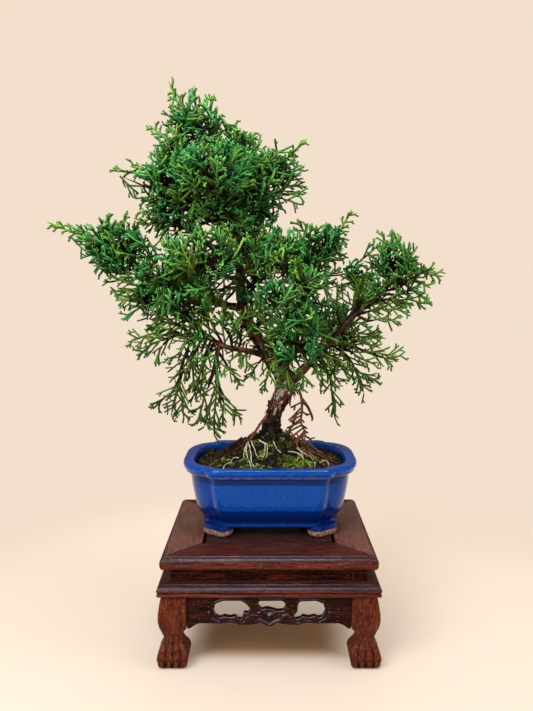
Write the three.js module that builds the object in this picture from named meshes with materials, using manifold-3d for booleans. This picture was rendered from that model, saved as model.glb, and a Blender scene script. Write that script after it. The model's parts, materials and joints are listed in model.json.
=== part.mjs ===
// A kishu juniper bonsai in a glazed four-lobed pot, on a pierced rosewood stand.
// Millimetres, +Z up. The stand is centred on X = 0, Y = 0 with its feet at Z = 0 while the pieces
// are made, and the front of the tree faces -Y. The whole group is then moved sideways, so that its
// origin is the bottom centre of the box that holds it.
import * as THREE from "three";
import { mergeVertices } from "three/addons/utils/BufferGeometryUtils.js";
import Module from "manifold-3d";

const wasm = await Module();
wasm.setup();

// Driving dimensions of the stand
const STAND_HEIGHT = 72;
const TOP_HALF = { x: 67.4, y: 59 };
const TOP_THICKNESS = 9;
const TOP_RAIL_WIDTH = 24.4;
const WAIST_HALF = { x: 61.2, y: 52.8 };
const WAIST_HEIGHT = 8;
const WAIST_THICKNESS = 6;
const MOULDING_HALF = { x: 69.5, y: 60.4 };
const MOULDING_HEIGHT = 8.4;
const FOOT_HALF = { x: 70, y: 61 };
const LEG_INNER_EDGE = 18.8;
const APRON_SETBACK = 4.4;
const APRON_THICKNESS = 4;
const WOOD_GAP = 0.12;

// Driving dimensions of the pot
const POT_HALF = { x: 59, y: 44 };
const POT_HEIGHT = 48.3;
const POT_CENTRE = { x: 0.8, y: 6 };
const POT_UNDERSIDE = 6.2;
const POT_FLOOR = 10.6;
const LOBE_FLAT_HALF = { end: 2, long: 33 };
const SEAT_GAP = 0.3;
const DRAIN_RADIUS = 5;
const DRAIN_SIDES = 14;
const DRAIN_OFFSET = 21;

// Driving dimensions of the soil and the wood
const SOIL_EDGE = 44.3;
const SOIL_CROWN = 59.5;
const SOIL_INSET = 9.4;
const SOIL_BUMP = 1.2;
const TRUNK_FOOT = { x: 2, y: 6 };
const FIT_GAP = 0.35;

// Driving dimensions of the foliage. A whorl's branchlets lean from their spray by two angles.
const PAD_STEM_RADII = [1.1, 1];
const STEM_RADIUS = 0.9;
const SPRAY_GIRTH = 1.1;
const SPRAY_SAG = 0.1;
const SPRAY_REACH = [0.92, 1.14];
const LONG_SPRAY = 28;
const LONG_SPRAY_START = 5;
const WHORL_PLACES = { short: [0.5], long: [0.42, 0.72] };
const WHORL_WIDTH = 1.9;
const BRANCHLET_LENGTH = [9, 13];
const BRANCHLET_RADIUS = 0.35;
const BRANCHLET_LEAN = [1.0, 0.5];
const BRANCHLET_LEAN_SPREAD = 0.3;
const BRANCHLET_TAPER = 0.4;
const BRANCHLET_LIFT = 0.12;
const TWIG_CLEARANCE = 0.35;

// How far a joined solid may be smoothed where its surfaces are nearly flat.
const SMOOTHING = { wood: 0.15, soil: 0.1, fine: 0.02 };

const standTop = STAND_HEIGHT;
const topUnderside = standTop - TOP_THICKNESS;
const waistUnderside = topUnderside - WAIST_HEIGHT;
const mouldingUnderside = waistUnderside - MOULDING_HEIGHT;
const potBase = standTop + SEAT_GAP;

const looks = {
  rosewood: { color: 0x4a231b, roughness: 0.45, metalness: 0 },
  glaze: { color: 0x123f9c, roughness: 0.15, metalness: 0 },
  soil: { color: 0x2a1d12, roughness: 0.95, metalness: 0 },
  screen: { color: 0x20221f, roughness: 0.7, metalness: 0 },
  bark: { color: 0x5b3524, roughness: 0.9, metalness: 0 },
  foliage: { color: 0x1f6b2c, roughness: 0.6, metalness: 0 },
};

// Small helpers

function seededRandom(seed) {
  let state = seed >>> 0;
  return () => {
    state = (state + 0x6d2b79f5) >>> 0;
    let t = state;
    t = Math.imul(t ^ (t >>> 15), t | 1);
    t ^= t + Math.imul(t ^ (t >>> 7), t | 61);
    return ((t ^ (t >>> 14)) >>> 0) / 4294967296;
  };
}

const vec = (p) => new THREE.Vector3(...p);

const centreOf = (points) =>
  points.reduce((sum, p) => sum.add(p), new THREE.Vector3()).divideScalar(points.length);

// A closed geometry as a solid that can be joined and cut.
function solidOf(geometry) {
  const bare = new THREE.BufferGeometry();
  bare.setAttribute("position", geometry.getAttribute("position"));
  if (geometry.index) bare.setIndex(geometry.index);
  const merged = mergeVertices(bare, 1e-4);
  const mesh = new wasm.Mesh({
    numProp: 3,
    vertProperties: new Float32Array(merged.attributes.position.array),
    triVerts: new Uint32Array(merged.index.array),
  });
  return new wasm.Manifold(mesh);
}

function geometryOf(solid) {
  const mesh = solid.getMesh();
  const positions = new Float32Array(mesh.numVert * 3);
  for (let i = 0; i < mesh.numVert; i++) {
    const start = i * mesh.numProp;
    positions.set(mesh.vertProperties.subarray(start, start + 3), i * 3);
  }
  const geometry = new THREE.BufferGeometry();
  geometry.setAttribute("position", new THREE.BufferAttribute(positions, 3));
  geometry.setIndex(new THREE.BufferAttribute(new Uint32Array(mesh.triVerts), 1));
  geometry.computeVertexNormals();
  return geometry;
}

// The largest body of a solid: a cut can leave a loose scrap, which is dropped.
function mainBody(solid) {
  const bodies = solid.decompose();
  return bodies.reduce((best, body) => (body.volume() > best.volume() ? body : best));
}

function boxGeometry(low, high) {
  const size = vec(high).sub(vec(low));
  const centre = vec(low).add(vec(high)).multiplyScalar(0.5);
  return new THREE.BoxGeometry(size.x, size.y, size.z).translate(centre.x, centre.y, centre.z);
}

// A closed skin over rings of equal count, each counter-clockwise seen from the end it heads for.
// A fan of triangles round the start point and one round the end point close its ends.
function loftGeometry(rings, startPoint, endPoint) {
  const count = rings[0].length;
  const positions = [];
  const index = [];
  for (const ring of rings) for (const p of ring) positions.push(p.x, p.y, p.z);
  for (let r = 0; r + 1 < rings.length; r++) {
    for (let i = 0; i < count; i++) {
      const a = r * count + i;
      const b = r * count + ((i + 1) % count);
      index.push(a, b, b + count, a, b + count, a + count);
    }
  }
  const first = positions.length / 3;
  positions.push(startPoint.x, startPoint.y, startPoint.z, endPoint.x, endPoint.y, endPoint.z);
  const lastRing = (rings.length - 1) * count;
  for (let i = 0; i < count; i++) {
    const next = (i + 1) % count;
    index.push(first, next, i);
    index.push(first + 1, lastRing + i, lastRing + next);
  }
  const geometry = new THREE.BufferGeometry();
  geometry.setAttribute("position", new THREE.Float32BufferAttribute(positions, 3));
  geometry.setIndex(index);
  geometry.computeVertexNormals();
  return geometry;
}

function meshOf(name, geometry, look) {
  const mesh = new THREE.Mesh(geometry, new THREE.MeshStandardMaterial(look));
  mesh.name = name;
  return mesh;
}

// The stand

// A rail along X with mitred ends: profile points are [inward distance, height], and the rail's
// outer face lies at Y = -reach.
function mitredRail(profile, halfLength, reach) {
  const shape = new THREE.Shape(profile.map((point) => new THREE.Vector2(...point)));
  const geometry = new THREE.ExtrudeGeometry(shape, { depth: 1, bevelEnabled: false, steps: 1 });
  const position = geometry.getAttribute("position");
  for (let i = 0; i < position.count; i++) {
    const inward = position.getX(i);
    const height = position.getY(i);
    const end = position.getZ(i) * 2 - 1;
    position.setXYZ(i, end * (halfLength - inward - WOOD_GAP), inward - reach, height);
  }
  return geometry;
}

const SIDES = [
  { side: "front", turn: 0, along: "x", across: "y" },
  { side: "right", turn: Math.PI / 2, along: "y", across: "x" },
  { side: "back", turn: Math.PI, along: "x", across: "y" },
  { side: "left", turn: -Math.PI / 2, along: "y", across: "x" },
];

function frameOfRails(name, profile, half, height) {
  const group = new THREE.Group();
  for (const { side, turn, along, across } of SIDES) {
    const rail = meshOf(
      `${name}_${side}`,
      mitredRail(profile, half[along], half[across]),
      looks.rosewood,
    );
    rail.rotation.z = turn;
    rail.position.z = height;
    group.add(rail);
  }
  return group;
}

// Rounded top edge with a bead, a quirk below it and a grooved inner edge that holds the panel.
const GROOVE = { low: 3, high: 5.5, depth: 3 };
const topRailProfile = [
  [TOP_RAIL_WIDTH, 0],
  [2.6, 0],
  [0.9, 0.8],
  [0.2, 2.2],
  [0, 4],
  [0.2, 5.4],
  [0.9, 6.0],
  [0.2, 6.6],
  [0.1, 7.5],
  [0.7, 8.5],
  [1.8, TOP_THICKNESS],
  [TOP_RAIL_WIDTH, TOP_THICKNESS],
  [TOP_RAIL_WIDTH, GROOVE.high],
  [TOP_RAIL_WIDTH - GROOVE.depth, GROOVE.high],
  [TOP_RAIL_WIDTH - GROOVE.depth, GROOVE.low],
  [TOP_RAIL_WIDTH, GROOVE.low],
];

const waistProfile = [
  [WAIST_THICKNESS, WOOD_GAP],
  [0, WOOD_GAP],
  [0, WAIST_HEIGHT - WOOD_GAP],
  [WAIST_THICKNESS, WAIST_HEIGHT - WOOD_GAP],
];

// A flat fillet, a quirk, a torus and a sloping step up to the waist.
const mouldingProfile = [
  [15, WOOD_GAP],
  [0.5, WOOD_GAP],
  [0.2, 0.6],
  [0.2, 2.0],
  [1.2, 2.3],
  [1.2, 2.8],
  [0.2, 3.2],
  [0, 4.3],
  [0.5, 5.5],
  [1.7, 6.4],
  [3.4, 6.8],
  [3.8, 7.3],
  [7.2, 8.0],
  [7.8, MOULDING_HEIGHT],
  [15, MOULDING_HEIGHT],
];

// A panel that floats in the rails' grooves by its thinner tongue.
const PANEL_GAP = { side: 0.5, face: 0.2 };
function standPanel() {
  const half = (axis) => TOP_HALF[axis] - TOP_RAIL_WIDTH - PANEL_GAP.side;
  const reach = GROOVE.depth - PANEL_GAP.side;
  const low = topUnderside + GROOVE.low + PANEL_GAP.face;
  const tongueTop = topUnderside + GROOVE.high - PANEL_GAP.face;
  const tongue = boxGeometry(
    [-half("x") - reach, -half("y") - reach, low],
    [half("x") + reach, half("y") + reach, tongueTop],
  );
  const field = boxGeometry([-half("x"), -half("y"), low], [half("x"), half("y"), standTop]);
  return meshOf(
    "stand_panel",
    geometryOf(solidOf(tongue).add(solidOf(field))),
    looks.rosewood,
  );
}

// Outline of a leg seen from the front or from the side: [distance from the foot's outermost
// line, height]. The leg is what the two views have in common.
const LEG_TOP = mouldingUnderside - WOOD_GAP;
const LEG_SPAN = 24;
const legOutline = [
  [3.0, LEG_TOP],
  [1.9, 41],
  [1.1, 35],
  [1.0, 31],
  [1.7, 27],
  [3.2, 23],
  [4.3, 19.5],
  [4.0, 16],
  [1.7, 12.2],
  [0.4, 9],
  [0, 5.8],
  [0.7, 5.2],
  [0.5, 3],
  [1.2, 1.2],
  [2.8, 0],
  [16.8, 0],
  [18.7, 1.6],
  [19.3, 3.4],
  [19.0, 5.2],
  [19.8, 5.8],
  [20.0, 8.5],
  [19.0, 11.5],
  [16.6, 15.2],
  [15.3, 18.5],
  [15.6, 21.5],
  [17.2, 24.2],
  [LEG_INNER_EDGE, 25.6],
  [LEG_INNER_EDGE, LEG_TOP],
];

const TOE_GROOVE = { width: 1.3, depth: 1.5, height: 5, places: [7.1, 12.7] };

function legSolid() {
  const shape = new THREE.Shape(legOutline.map((point) => new THREE.Vector2(...point)));
  const options = { depth: LEG_SPAN, bevelEnabled: false };
  const upright = () => new THREE.ExtrudeGeometry(shape, options).rotateX(Math.PI / 2);
  const seenFromFront = upright().translate(0, LEG_SPAN - 1, 0);
  const seenFromSide = upright().rotateZ(-Math.PI / 2).scale(-1, -1, 1).translate(-1, 0, 0);
  let leg = solidOf(seenFromFront).intersect(solidOf(seenFromSide));
  const { width, depth, height: top, places } = TOE_GROOVE;
  for (const place of places) {
    const inFront = boxGeometry([place, -1, -1], [place + width, depth, top]);
    const inSide = boxGeometry([-1, place, -1], [depth, place + width, top]);
    leg = leg.subtract(solidOf(inFront)).subtract(solidOf(inSide));
  }
  return leg.simplify(SMOOTHING.fine);
}

const LEGS = [
  { name: "stand_leg_front_left", mirror: [1, 1] },
  { name: "stand_leg_front_right", mirror: [-1, 1] },
  { name: "stand_leg_back_left", mirror: [1, -1] },
  { name: "stand_leg_back_right", mirror: [-1, -1] },
];

function standLegs() {
  const group = new THREE.Group();
  const leg = legSolid();
  for (const { name, mirror } of LEGS) {
    const corner = new THREE.Group();
    corner.scale.set(mirror[0], mirror[1], 1);
    const mesh = meshOf(name, geometryOf(leg), looks.rosewood);
    mesh.position.set(-FOOT_HALF.x, -FOOT_HALF.y, 0);
    corner.add(mesh);
    group.add(corner);
  }
  return group;
}

// The apron's lower edge from its end to the pendant: [distance from the end, height],
// then [distance from the middle, height]. A short apron leaves out the wave's first points.
const APRON_END_LENGTH = 9;
const apronEnd = [
  [0, 25.0],
  [1.8, 25.1],
  [4.4, 27.0],
  [8.0, 28.6],
];
const apronWave = [
  [29.4, 28.4],
  [24.4, 28.9],
  [18.8, 28.0],
  [13.3, 27.4],
  [9.0, 28.0],
  [4.6, 28.8],
  [2.2, 27.4],
];
const APRON_PENDANT = 26.4;

// Pierced scrolls of the apron, drawn from its middle: [along, height].
const leftScroll = [
  [-34.6, 37.2],
  [-33.2, 41.4],
  [-28.3, 43.2],
  [-17.2, 43.2],
  [-14.2, 41.1],
  [-11.7, 38.2],
  [-12.8, 35.5],
  [-15.8, 35.7],
  [-16.2, 33.6],
  [-17.2, 31.2],
  [-19.2, 31.6],
  [-20.8, 33.4],
  [-24.4, 32.6],
  [-28.0, 33.5],
  [-30.4, 32.2],
  [-33.1, 33.7],
];
const rightScroll = [
  [18.0, 41.0],
  [19.3, 42.8],
  [29.3, 43.2],
  [33.6, 41.4],
  [35.0, 36.7],
  [33.0, 33.2],
  [30.7, 32.3],
  [28.5, 33.6],
  [24.6, 32.6],
  [21.0, 33.5],
  [19.1, 31.9],
  [16.4, 31.2],
  [15.2, 33.2],
  [17.8, 36.6],
];
const middleScroll = [
  [-7.3, 41.0],
  [-5.8, 43.1],
  [8.4, 43.2],
  [10.6, 41.0],
  [9.0, 37.2],
  [5.4, 36.8],
  [-1.2, 38.6],
  [-4.6, 37.7],
];

function apronGeometry(halfLength) {
  const top = mouldingUnderside - WOOD_GAP;
  const toPoint = ([x, z]) => new THREE.Vector2(x, z);
  const end = apronEnd.map(([d, z]) => [d - halfLength, z]);
  const wave = apronWave.filter(([d]) => d < halfLength - APRON_END_LENGTH);
  const left = [...end, ...wave.map(([d, z]) => [-d, z])];
  const right = left.map(([x, z]) => [-x, z]).reverse();
  const outline = [[-halfLength, top], ...left, [0, APRON_PENDANT], ...right, [halfLength, top]];
  const shape = new THREE.Shape(outline.map(toPoint));
  for (const scroll of [leftScroll, middleScroll, rightScroll]) {
    shape.holes.push(new THREE.Path(scroll.map(toPoint)));
  }
  const options = { depth: APRON_THICKNESS, bevelEnabled: false };
  return new THREE.ExtrudeGeometry(shape, options).rotateX(Math.PI / 2);
}

function standAprons() {
  const group = new THREE.Group();
  for (const { side, turn, along, across } of SIDES) {
    const halfLength = FOOT_HALF[along] - LEG_INNER_EDGE - WOOD_GAP;
    const apron = meshOf(`stand_apron_${side}`, apronGeometry(halfLength), looks.rosewood);
    apron.position.y = -FOOT_HALF[across] + APRON_SETBACK + APRON_THICKNESS;
    const holder = new THREE.Group();
    holder.rotation.z = turn;
    holder.add(apron);
    group.add(holder);
  }
  return group;
}

function stand() {
  const group = new THREE.Group();
  group.add(frameOfRails("stand_top_rail", topRailProfile, TOP_HALF, topUnderside));
  group.add(standPanel());
  group.add(frameOfRails("stand_waist", waistProfile, WAIST_HALF, waistUnderside));
  group.add(frameOfRails("stand_moulding", mouldingProfile, MOULDING_HALF, mouldingUnderside));
  group.add(standLegs());
  group.add(standAprons());
  return group;
}

// The pot

// Four-lobed outline, counter-clockwise: straight lobes on the long sides, round lobes at the ends,
// and a cusp at each corner. One quarter is drawn from the right end to the middle of the back, and
// an inset scales it down alike on both half widths.
const cusp = new THREE.Vector2(38.6, 38.2);
const POINTS_PER_LOBE = { end: 6, long: 3 };
const END_LOBE = [
  new THREE.Vector2(POT_HALF.x, 8),
  new THREE.Vector2(POT_HALF.x, 25),
  new THREE.Vector2(51, 35),
];
const LONG_LOBE_CORNER = new THREE.Vector2(37.6, 43.2);
const longLobeStart = new THREE.Vector2(LOBE_FLAT_HALF.long, POT_HALF.y);
const endLobeCurve = new THREE.CubicBezierCurve(...END_LOBE, cusp);
const longLobeCurve = new THREE.QuadraticBezierCurve(cusp, LONG_LOBE_CORNER, longLobeStart);
const lobeQuarter = [
  new THREE.Vector2(POT_HALF.x, LOBE_FLAT_HALF.end),
  ...endLobeCurve.getPoints(POINTS_PER_LOBE.end),
  ...longLobeCurve.getPoints(POINTS_PER_LOBE.long).slice(1),
];

function ringAt(inset, z, quarter = lobeQuarter) {
  const sx = 1 - inset / POT_HALF.x;
  const sy = 1 - inset / POT_HALF.y;
  const turned = (x, y) => quarter.map((p) => new THREE.Vector3(p.x * sx * x, p.y * sy * y, z));
  return [
    ...turned(1, 1),
    ...turned(-1, 1).reverse(),
    ...turned(-1, -1),
    ...turned(1, -1).reverse(),
  ];
}

// [inset, height] up the outside, over the rim and down the inside.
const potProfile = [
  [14.6, POT_UNDERSIDE],
  [12.8, 6.9],
  [13.0, 9.6],
  [10.4, 13.2],
  [8.4, 19],
  [6.2, 32],
  [4.9, 41.2],
  [2.6, 41.9],
  [1.2, 42.9],
  [1.5, 44.4],
  [0.2, 45.3],
  [0.2, 47.3],
  [1.6, POT_HEIGHT],
  [6.6, POT_HEIGHT],
  [7.6, 47.2],
  [12, 22],
  [15, 14],
  [18, POT_FLOOR],
];

// Each cloud foot bends round one corner of the underside, and shrinks a little to its sole. It
// follows the outline from its first point to its last, and its inside takes every third of them.
const FOOT = { outer: 12.6, inner: 21, sunk: 1.2, first: 3, last: 10, shrink: 0.14 };
function footGeometry(flipX, flipY) {
  const band = (inset) => ringAt(inset, 0).slice(FOOT.first, FOOT.last + 1);
  const inner = band(FOOT.inner).filter((p, i) => i % 3 === 0);
  const outline = [...band(FOOT.outer), ...inner.reverse()];
  const corner = lobeQuarter.findIndex((p) => p.equals(cusp)) - FOOT.first;
  const middle = band((FOOT.outer + FOOT.inner) / 2)[corner];
  const level = (z, shrink) =>
    outline.map((p) => {
      const q = p.clone().lerp(middle, shrink);
      return new THREE.Vector3(q.x * flipX, q.y * flipY, z);
    });
  const rings = [level(0, FOOT.shrink), level(POT_UNDERSIDE + FOOT.sunk, 0)];
  if (flipX * flipY < 0) rings.forEach((ring) => ring.reverse());
  const capAt = (z) => new THREE.Vector3(middle.x * flipX, middle.y * flipY, z);
  return loftGeometry(rings, capAt(0), capAt(POT_UNDERSIDE + FOOT.sunk));
}

function potSolid() {
  const rings = potProfile.map(([inset, z]) => ringAt(inset, z));
  const shell = solidOf(
    loftGeometry(
      rings,
      new THREE.Vector3(0, 0, POT_UNDERSIDE),
      new THREE.Vector3(0, 0, POT_FLOOR),
    ),
  );
  let pot = shell;
  for (const flipX of [1, -1]) {
    for (const flipY of [1, -1]) pot = pot.add(solidOf(footGeometry(flipX, flipY)));
  }
  for (const side of [-1, 1]) {
    const length = POT_FLOOR + 2;
    const hole = new THREE.CylinderGeometry(DRAIN_RADIUS, DRAIN_RADIUS, length, DRAIN_SIDES)
      .rotateX(Math.PI / 2)
      .translate(side * DRAIN_OFFSET, 0, length / 2 + 1);
    pot = pot.subtract(solidOf(hole));
  }
  return pot;
}

// A square of plastic mesh over each drain hole.
const SCREEN = { half: 7.5, bar: 1.4, holes: 2, thickness: 0.9 };
function screenSolid() {
  const { half, bar, holes, thickness } = SCREEN;
  const pitch = (2 * half - bar) / holes;
  let screen = solidOf(boxGeometry([-half, -half, 0], [half, half, thickness]));
  for (let i = 0; i < holes; i++) {
    for (let j = 0; j < holes; j++) {
      const x = -half + bar + i * pitch;
      const y = -half + bar + j * pitch;
      const hole = boxGeometry([x, y, -1], [x + pitch - bar, y + pitch - bar, thickness + 1]);
      screen = screen.subtract(solidOf(hole));
    }
  }
  return screen;
}

// The wood: one trunk with its limbs and roots, grown as one piece

// Each limb follows its route, and its radii are spread evenly along it. A limb has four sides
// unless it says otherwise.
const limbs = {
  trunk: {
    route: [
      [TRUNK_FOOT.x, TRUNK_FOOT.y, 122],
      [TRUNK_FOOT.x, TRUNK_FOOT.y, 132],
      [4, 5, 143],
      [6, 3, 153],
      [9, 1.5, 162],
      [11.5, 0, 170],
      [8, -2, 180],
      [1, -4, 190],
      [-6, -3, 200],
      [-13, 0, 211],
      [-17, 3, 223],
      [-19, 4, 236],
      [-19, 2, 250],
      [-20, 0, 264],
      [-24, -2, 277],
      [-28, -2, 290],
      [-33, 0, 303],
      [-38, 2, 320],
      [-42, 2, 334],
    ],
    radii: [
      8.8, 7.4, 6.2, 5.8, 5.8, 6.2, 5.2, 4.6, 4.2, 3.9,
      3.6, 3.3, 3.0, 2.8, 2.6, 2.3, 2.0, 1.6, 1.2,
    ],
    sides: 8,
  },
  right: {
    route: [
      [11, 0, 169],
      [21, 4, 177],
      [32, 8, 188],
      [42, 10, 198],
      [49, 9, 206],
      [56, 6, 216],
      [64, 4, 222],
      [72, 2, 228],
      [77, 0, 234],
    ],
    radii: [3.9, 3.3, 2.9, 2.6, 2.4, 2.3, 1.9, 1.6, 1.3],
    sides: 5,
  },
  low_right: { route: [[41, 10, 197], [48, 7, 197], [54, 3, 196]], radii: [1.7, 1.4, 1.1] },
  mid_right: { route: [[56, 6, 215], [58, 10, 222], [59, 12, 229]], radii: [1.5, 1.2, 1.0] },
  low_left: {
    route: [
      [1, -4, 189],
      [-9, -10, 193],
      [-17, -14, 195],
      [-27, -16, 197],
      [-35, -16, 201],
      [-45, -18, 205],
      [-55, -18, 205],
    ],
    radii: [2.4, 2.0, 1.8, 1.7, 1.5, 1.3, 1.0],
    sides: 5,
  },
  low_left_rise: { route: [[-41, -17, 203], [-45, -19, 209]], radii: [1.3, 1.0] },
  low_left_drop: {
    route: [[-50, -18, 204], [-56, -19, 198], [-58, -20, 191]],
    radii: [1.2, 1.0, 0.9],
  },
  hanging: { route: [[-32, -16, 200], [-34, -19, 190], [-36, -22, 180]], radii: [1.3, 1.1, 0.9] },
  left: {
    route: [
      [-17, 3, 222],
      [-28, -2, 224],
      [-40, -6, 228],
      [-52, -8, 232],
      [-65, -8, 236],
      [-77, -6, 241],
      [-84, -4, 247],
    ],
    radii: [2.6, 2.3, 2.0, 1.8, 1.6, 1.4, 1.2],
    sides: 5,
  },
  left_low: { route: [[-62, -8, 235], [-69, -13, 230], [-74, -16, 227]], radii: [1.3, 1.1, 0.9] },
  front_left: { route: [[-19, 3, 240], [-27, -10, 243], [-34, -22, 246]], radii: [1.8, 1.5, 1.1] },
  rising_right: {
    route: [[-5, -3, 199], [8, 4, 209], [19, 8, 223], [28, 10, 234], [34, 12, 246]],
    radii: [2.4, 2.1, 1.8, 1.5, 1.2],
    sides: 5,
  },
  front_right: {
    route: [[4, -3, 186], [10, -12, 197], [13, -23, 208], [13, -31, 216]],
    radii: [1.9, 1.6, 1.3, 1.1],
  },
  low_front: { route: [[10, -1, 175], [12, -12, 184], [12, -23, 190]], radii: [1.8, 1.4, 1.1] },
  crown_low_left: { route: [[-25, -2, 282], [-38, -5, 288], [-52, -7, 292]], radii: [1.7, 1.4, 1.0] },
  crown_left: { route: [[-33, 0, 303], [-41, -4, 311], [-47, -6, 318]], radii: [1.5, 1.2, 1.0] },
  crown_right: { route: [[-36, 1, 313], [-28, 7, 319], [-21, 10, 323]], radii: [1.4, 1.2, 1.0] },
  crown_far_right: { route: [[-27, -2, 287], [-15, 3, 296], [-3, 6, 304]], radii: [1.7, 1.4, 1.0] },
  crown_front: { route: [[-31, -1, 298], [-32, -11, 301], [-33, -19, 303]], radii: [1.5, 1.2, 1.0] },
  crown_inner: { route: [[-21, -1, 268], [-14, 1, 276], [-8, 2, 282]], radii: [1.5, 1.2, 1.0] },
  mid_front: { route: [[-19, 2, 247], [-8, -8, 251], [0, -16, 254]], radii: [1.5, 1.2, 1.0] },
  back_high: { route: [[-23, -2, 274], [-25, 12, 283], [-27, 24, 290]], radii: [1.8, 1.5, 1.1] },
  back_mid: { route: [[-19, 3, 245], [-16, 15, 251], [-12, 27, 257]], radii: [1.8, 1.5, 1.1] },
  back_left: { route: [[-24, 0, 223], [-36, 12, 228], [-48, 24, 234]], radii: [1.7, 1.4, 1.1] },
  back_right: { route: [[30, 8, 186], [36, 19, 194], [40, 30, 202]], radii: [1.8, 1.5, 1.1] },
  dry_twig: {
    route: [[12, -2, 168], [18, -6, 163], [22, -8, 155], [22, -9, 147], [26, -10, 138]],
    radii: [1.0, 0.9, 0.9, 0.8, 0.6],
  },
  dry_fork: { route: [[21, -8, 157], [26, -9, 153], [28, -9, 146]], radii: [0.8, 0.8, 0.6] },
  dry_left: { route: [[22, -8, 151], [17, -9, 148], [13, -10, 146]], radii: [0.8, 0.7, 0.5] },
};

// Surface roots leave the butt of the trunk in these directions, in degrees, and dive into the
// soil at their reach.
const roots = [
  { heading: 200, reach: 24, radius: 1.7 },
  { heading: 150, reach: 20, radius: 1.5 },
  { heading: 256, reach: 17, radius: 1.5 },
  { heading: 322, reach: 22, radius: 1.7 },
  { heading: 10, reach: 26, radius: 1.6 },
  { heading: 82, reach: 18, radius: 1.6 },
];

const BARK = { ridges: 3, depth: 0.1, twist: 0.06, waver: 0.07 };

// A tapering tube with ridged bark. Growth widens and lengthens it, so that it can be cut out of
// its neighbours with clearance.
function limbGeometry({ route, radii, sides = 4 }, growth = 0, seed = 1) {
  const random = seededRandom(seed);
  const curve = new THREE.CatmullRomCurve3(route.map(vec));
  const steps = Math.max(3, route.length - 1);
  const frames = curve.computeFrenetFrames(steps, false);
  const phase = random() * Math.PI * 2;
  const ridgeAt = (angle, k) =>
    1 + BARK.depth * Math.cos(BARK.ridges * angle + phase + k * BARK.twist * sides);
  const rings = [];
  for (let k = 0; k <= steps; k++) {
    const place = (k / steps) * (radii.length - 1);
    const at = Math.min(Math.floor(place), radii.length - 2);
    const radius = THREE.MathUtils.lerp(radii[at], radii[at + 1], place - at);
    const waver = 1 + BARK.waver * (random() * 2 - 1);
    const centre = curve.getPoint(k / steps);
    const stretch = k === 0 ? -growth : k === steps ? growth : 0;
    centre.addScaledVector(frames.tangents[k], stretch);
    rings.push(
      Array.from({ length: sides }, (_, i) => {
        const angle = (i / sides) * Math.PI * 2;
        const reach = radius * waver * ridgeAt(angle, k) + growth;
        return centre
          .clone()
          .addScaledVector(frames.normals[k], Math.cos(angle) * reach)
          .addScaledVector(frames.binormals[k], Math.sin(angle) * reach);
      }),
    );
  }
  return loftGeometry(rings, centreOf(rings[0]), centreOf(rings[steps]));
}

// Height of the soil at a point of the pot, from the rim's inner edge up to the trunk.
const SOIL_REACH = { x: 51, y: 35 };
function soilHeight(x, y) {
  const outX = (x - POT_CENTRE.x) / SOIL_REACH.x;
  const outY = (y - POT_CENTRE.y) / SOIL_REACH.y;
  const mound = 0.5 + 0.5 * Math.cos(Math.PI * Math.min(1, Math.hypot(outX, outY)));
  return potBase + SOIL_EDGE + (SOIL_CROWN - SOIL_EDGE) * mound;
}

function rootLimb({ heading, reach, radius }) {
  const angle = THREE.MathUtils.degToRad(heading);
  const at = (distance, lift) => {
    const x = TRUNK_FOOT.x + Math.cos(angle) * distance;
    const y = TRUNK_FOOT.y + Math.sin(angle) * distance;
    return [x, y, soilHeight(x, y) + lift];
  };
  return {
    route: [at(2, 4), at(reach * 0.35, 1.6), at(reach * 0.7, 0.4), at(reach, -2.4)],
    radii: [radius * 1.4, radius, radius * 0.75, radius * 0.5],
  };
}

function woodSolid(growth) {
  const pieces = [...Object.values(limbs), ...roots.map(rootLimb)];
  const joined = wasm.Manifold.union(
    pieces.map((limb, i) => solidOf(limbGeometry(limb, growth, i + 1))),
  );
  return joined.simplify(SMOOTHING.wood);
}

// The soil

const SOIL_SEED = 29;
const SOIL_RING_SHARES = [0.8, 0.58, 0.36];
function soilSolid(clearanceWood) {
  const random = seededRandom(SOIL_SEED);
  const quarter = lobeQuarter.filter((p, i) => i % 2 === 0 || p.equals(cusp));
  const place = (p) => p.add(new THREE.Vector3(POT_CENTRE.x, POT_CENTRE.y, potBase));
  const walls = [
    ringAt(18.6, POT_FLOOR + FIT_GAP, quarter),
    ringAt(15.9, 14, quarter),
    ringAt(12.7, 22, quarter),
    ringAt(SOIL_INSET, SOIL_EDGE, quarter),
  ].map((ring) => ring.map(place));
  const surface = SOIL_RING_SHARES.map((share) =>
    ringAt(SOIL_INSET, 0, quarter).map((p) => {
      const x = POT_CENTRE.x + p.x * share;
      const y = POT_CENTRE.y + p.y * share;
      return new THREE.Vector3(x, y, soilHeight(x, y) + (random() - 0.5) * SOIL_BUMP);
    }),
  );
  const geometry = loftGeometry(
    [...walls, ...surface],
    place(new THREE.Vector3(0, 0, POT_FLOOR + FIT_GAP)),
    place(new THREE.Vector3(0, 0, SOIL_CROWN)),
  );
  let soil = solidOf(geometry).subtract(clearanceWood);
  const reach = SCREEN.half + FIT_GAP;
  const screenTop = POT_FLOOR + SCREEN.thickness + 2 * FIT_GAP;
  for (const side of [-1, 1]) {
    const x = side * DRAIN_OFFSET;
    const low = place(new THREE.Vector3(x - reach, -reach, POT_FLOOR - 1));
    const high = place(new THREE.Vector3(x + reach, reach, screenTop));
    soil = soil.subtract(solidOf(boxGeometry(low.toArray(), high.toArray())));
  }
  return mainBody(soil.simplify(SMOOTHING.soil));
}

// The foliage: pads of scale-leaved sprays, one node for each pad

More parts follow.
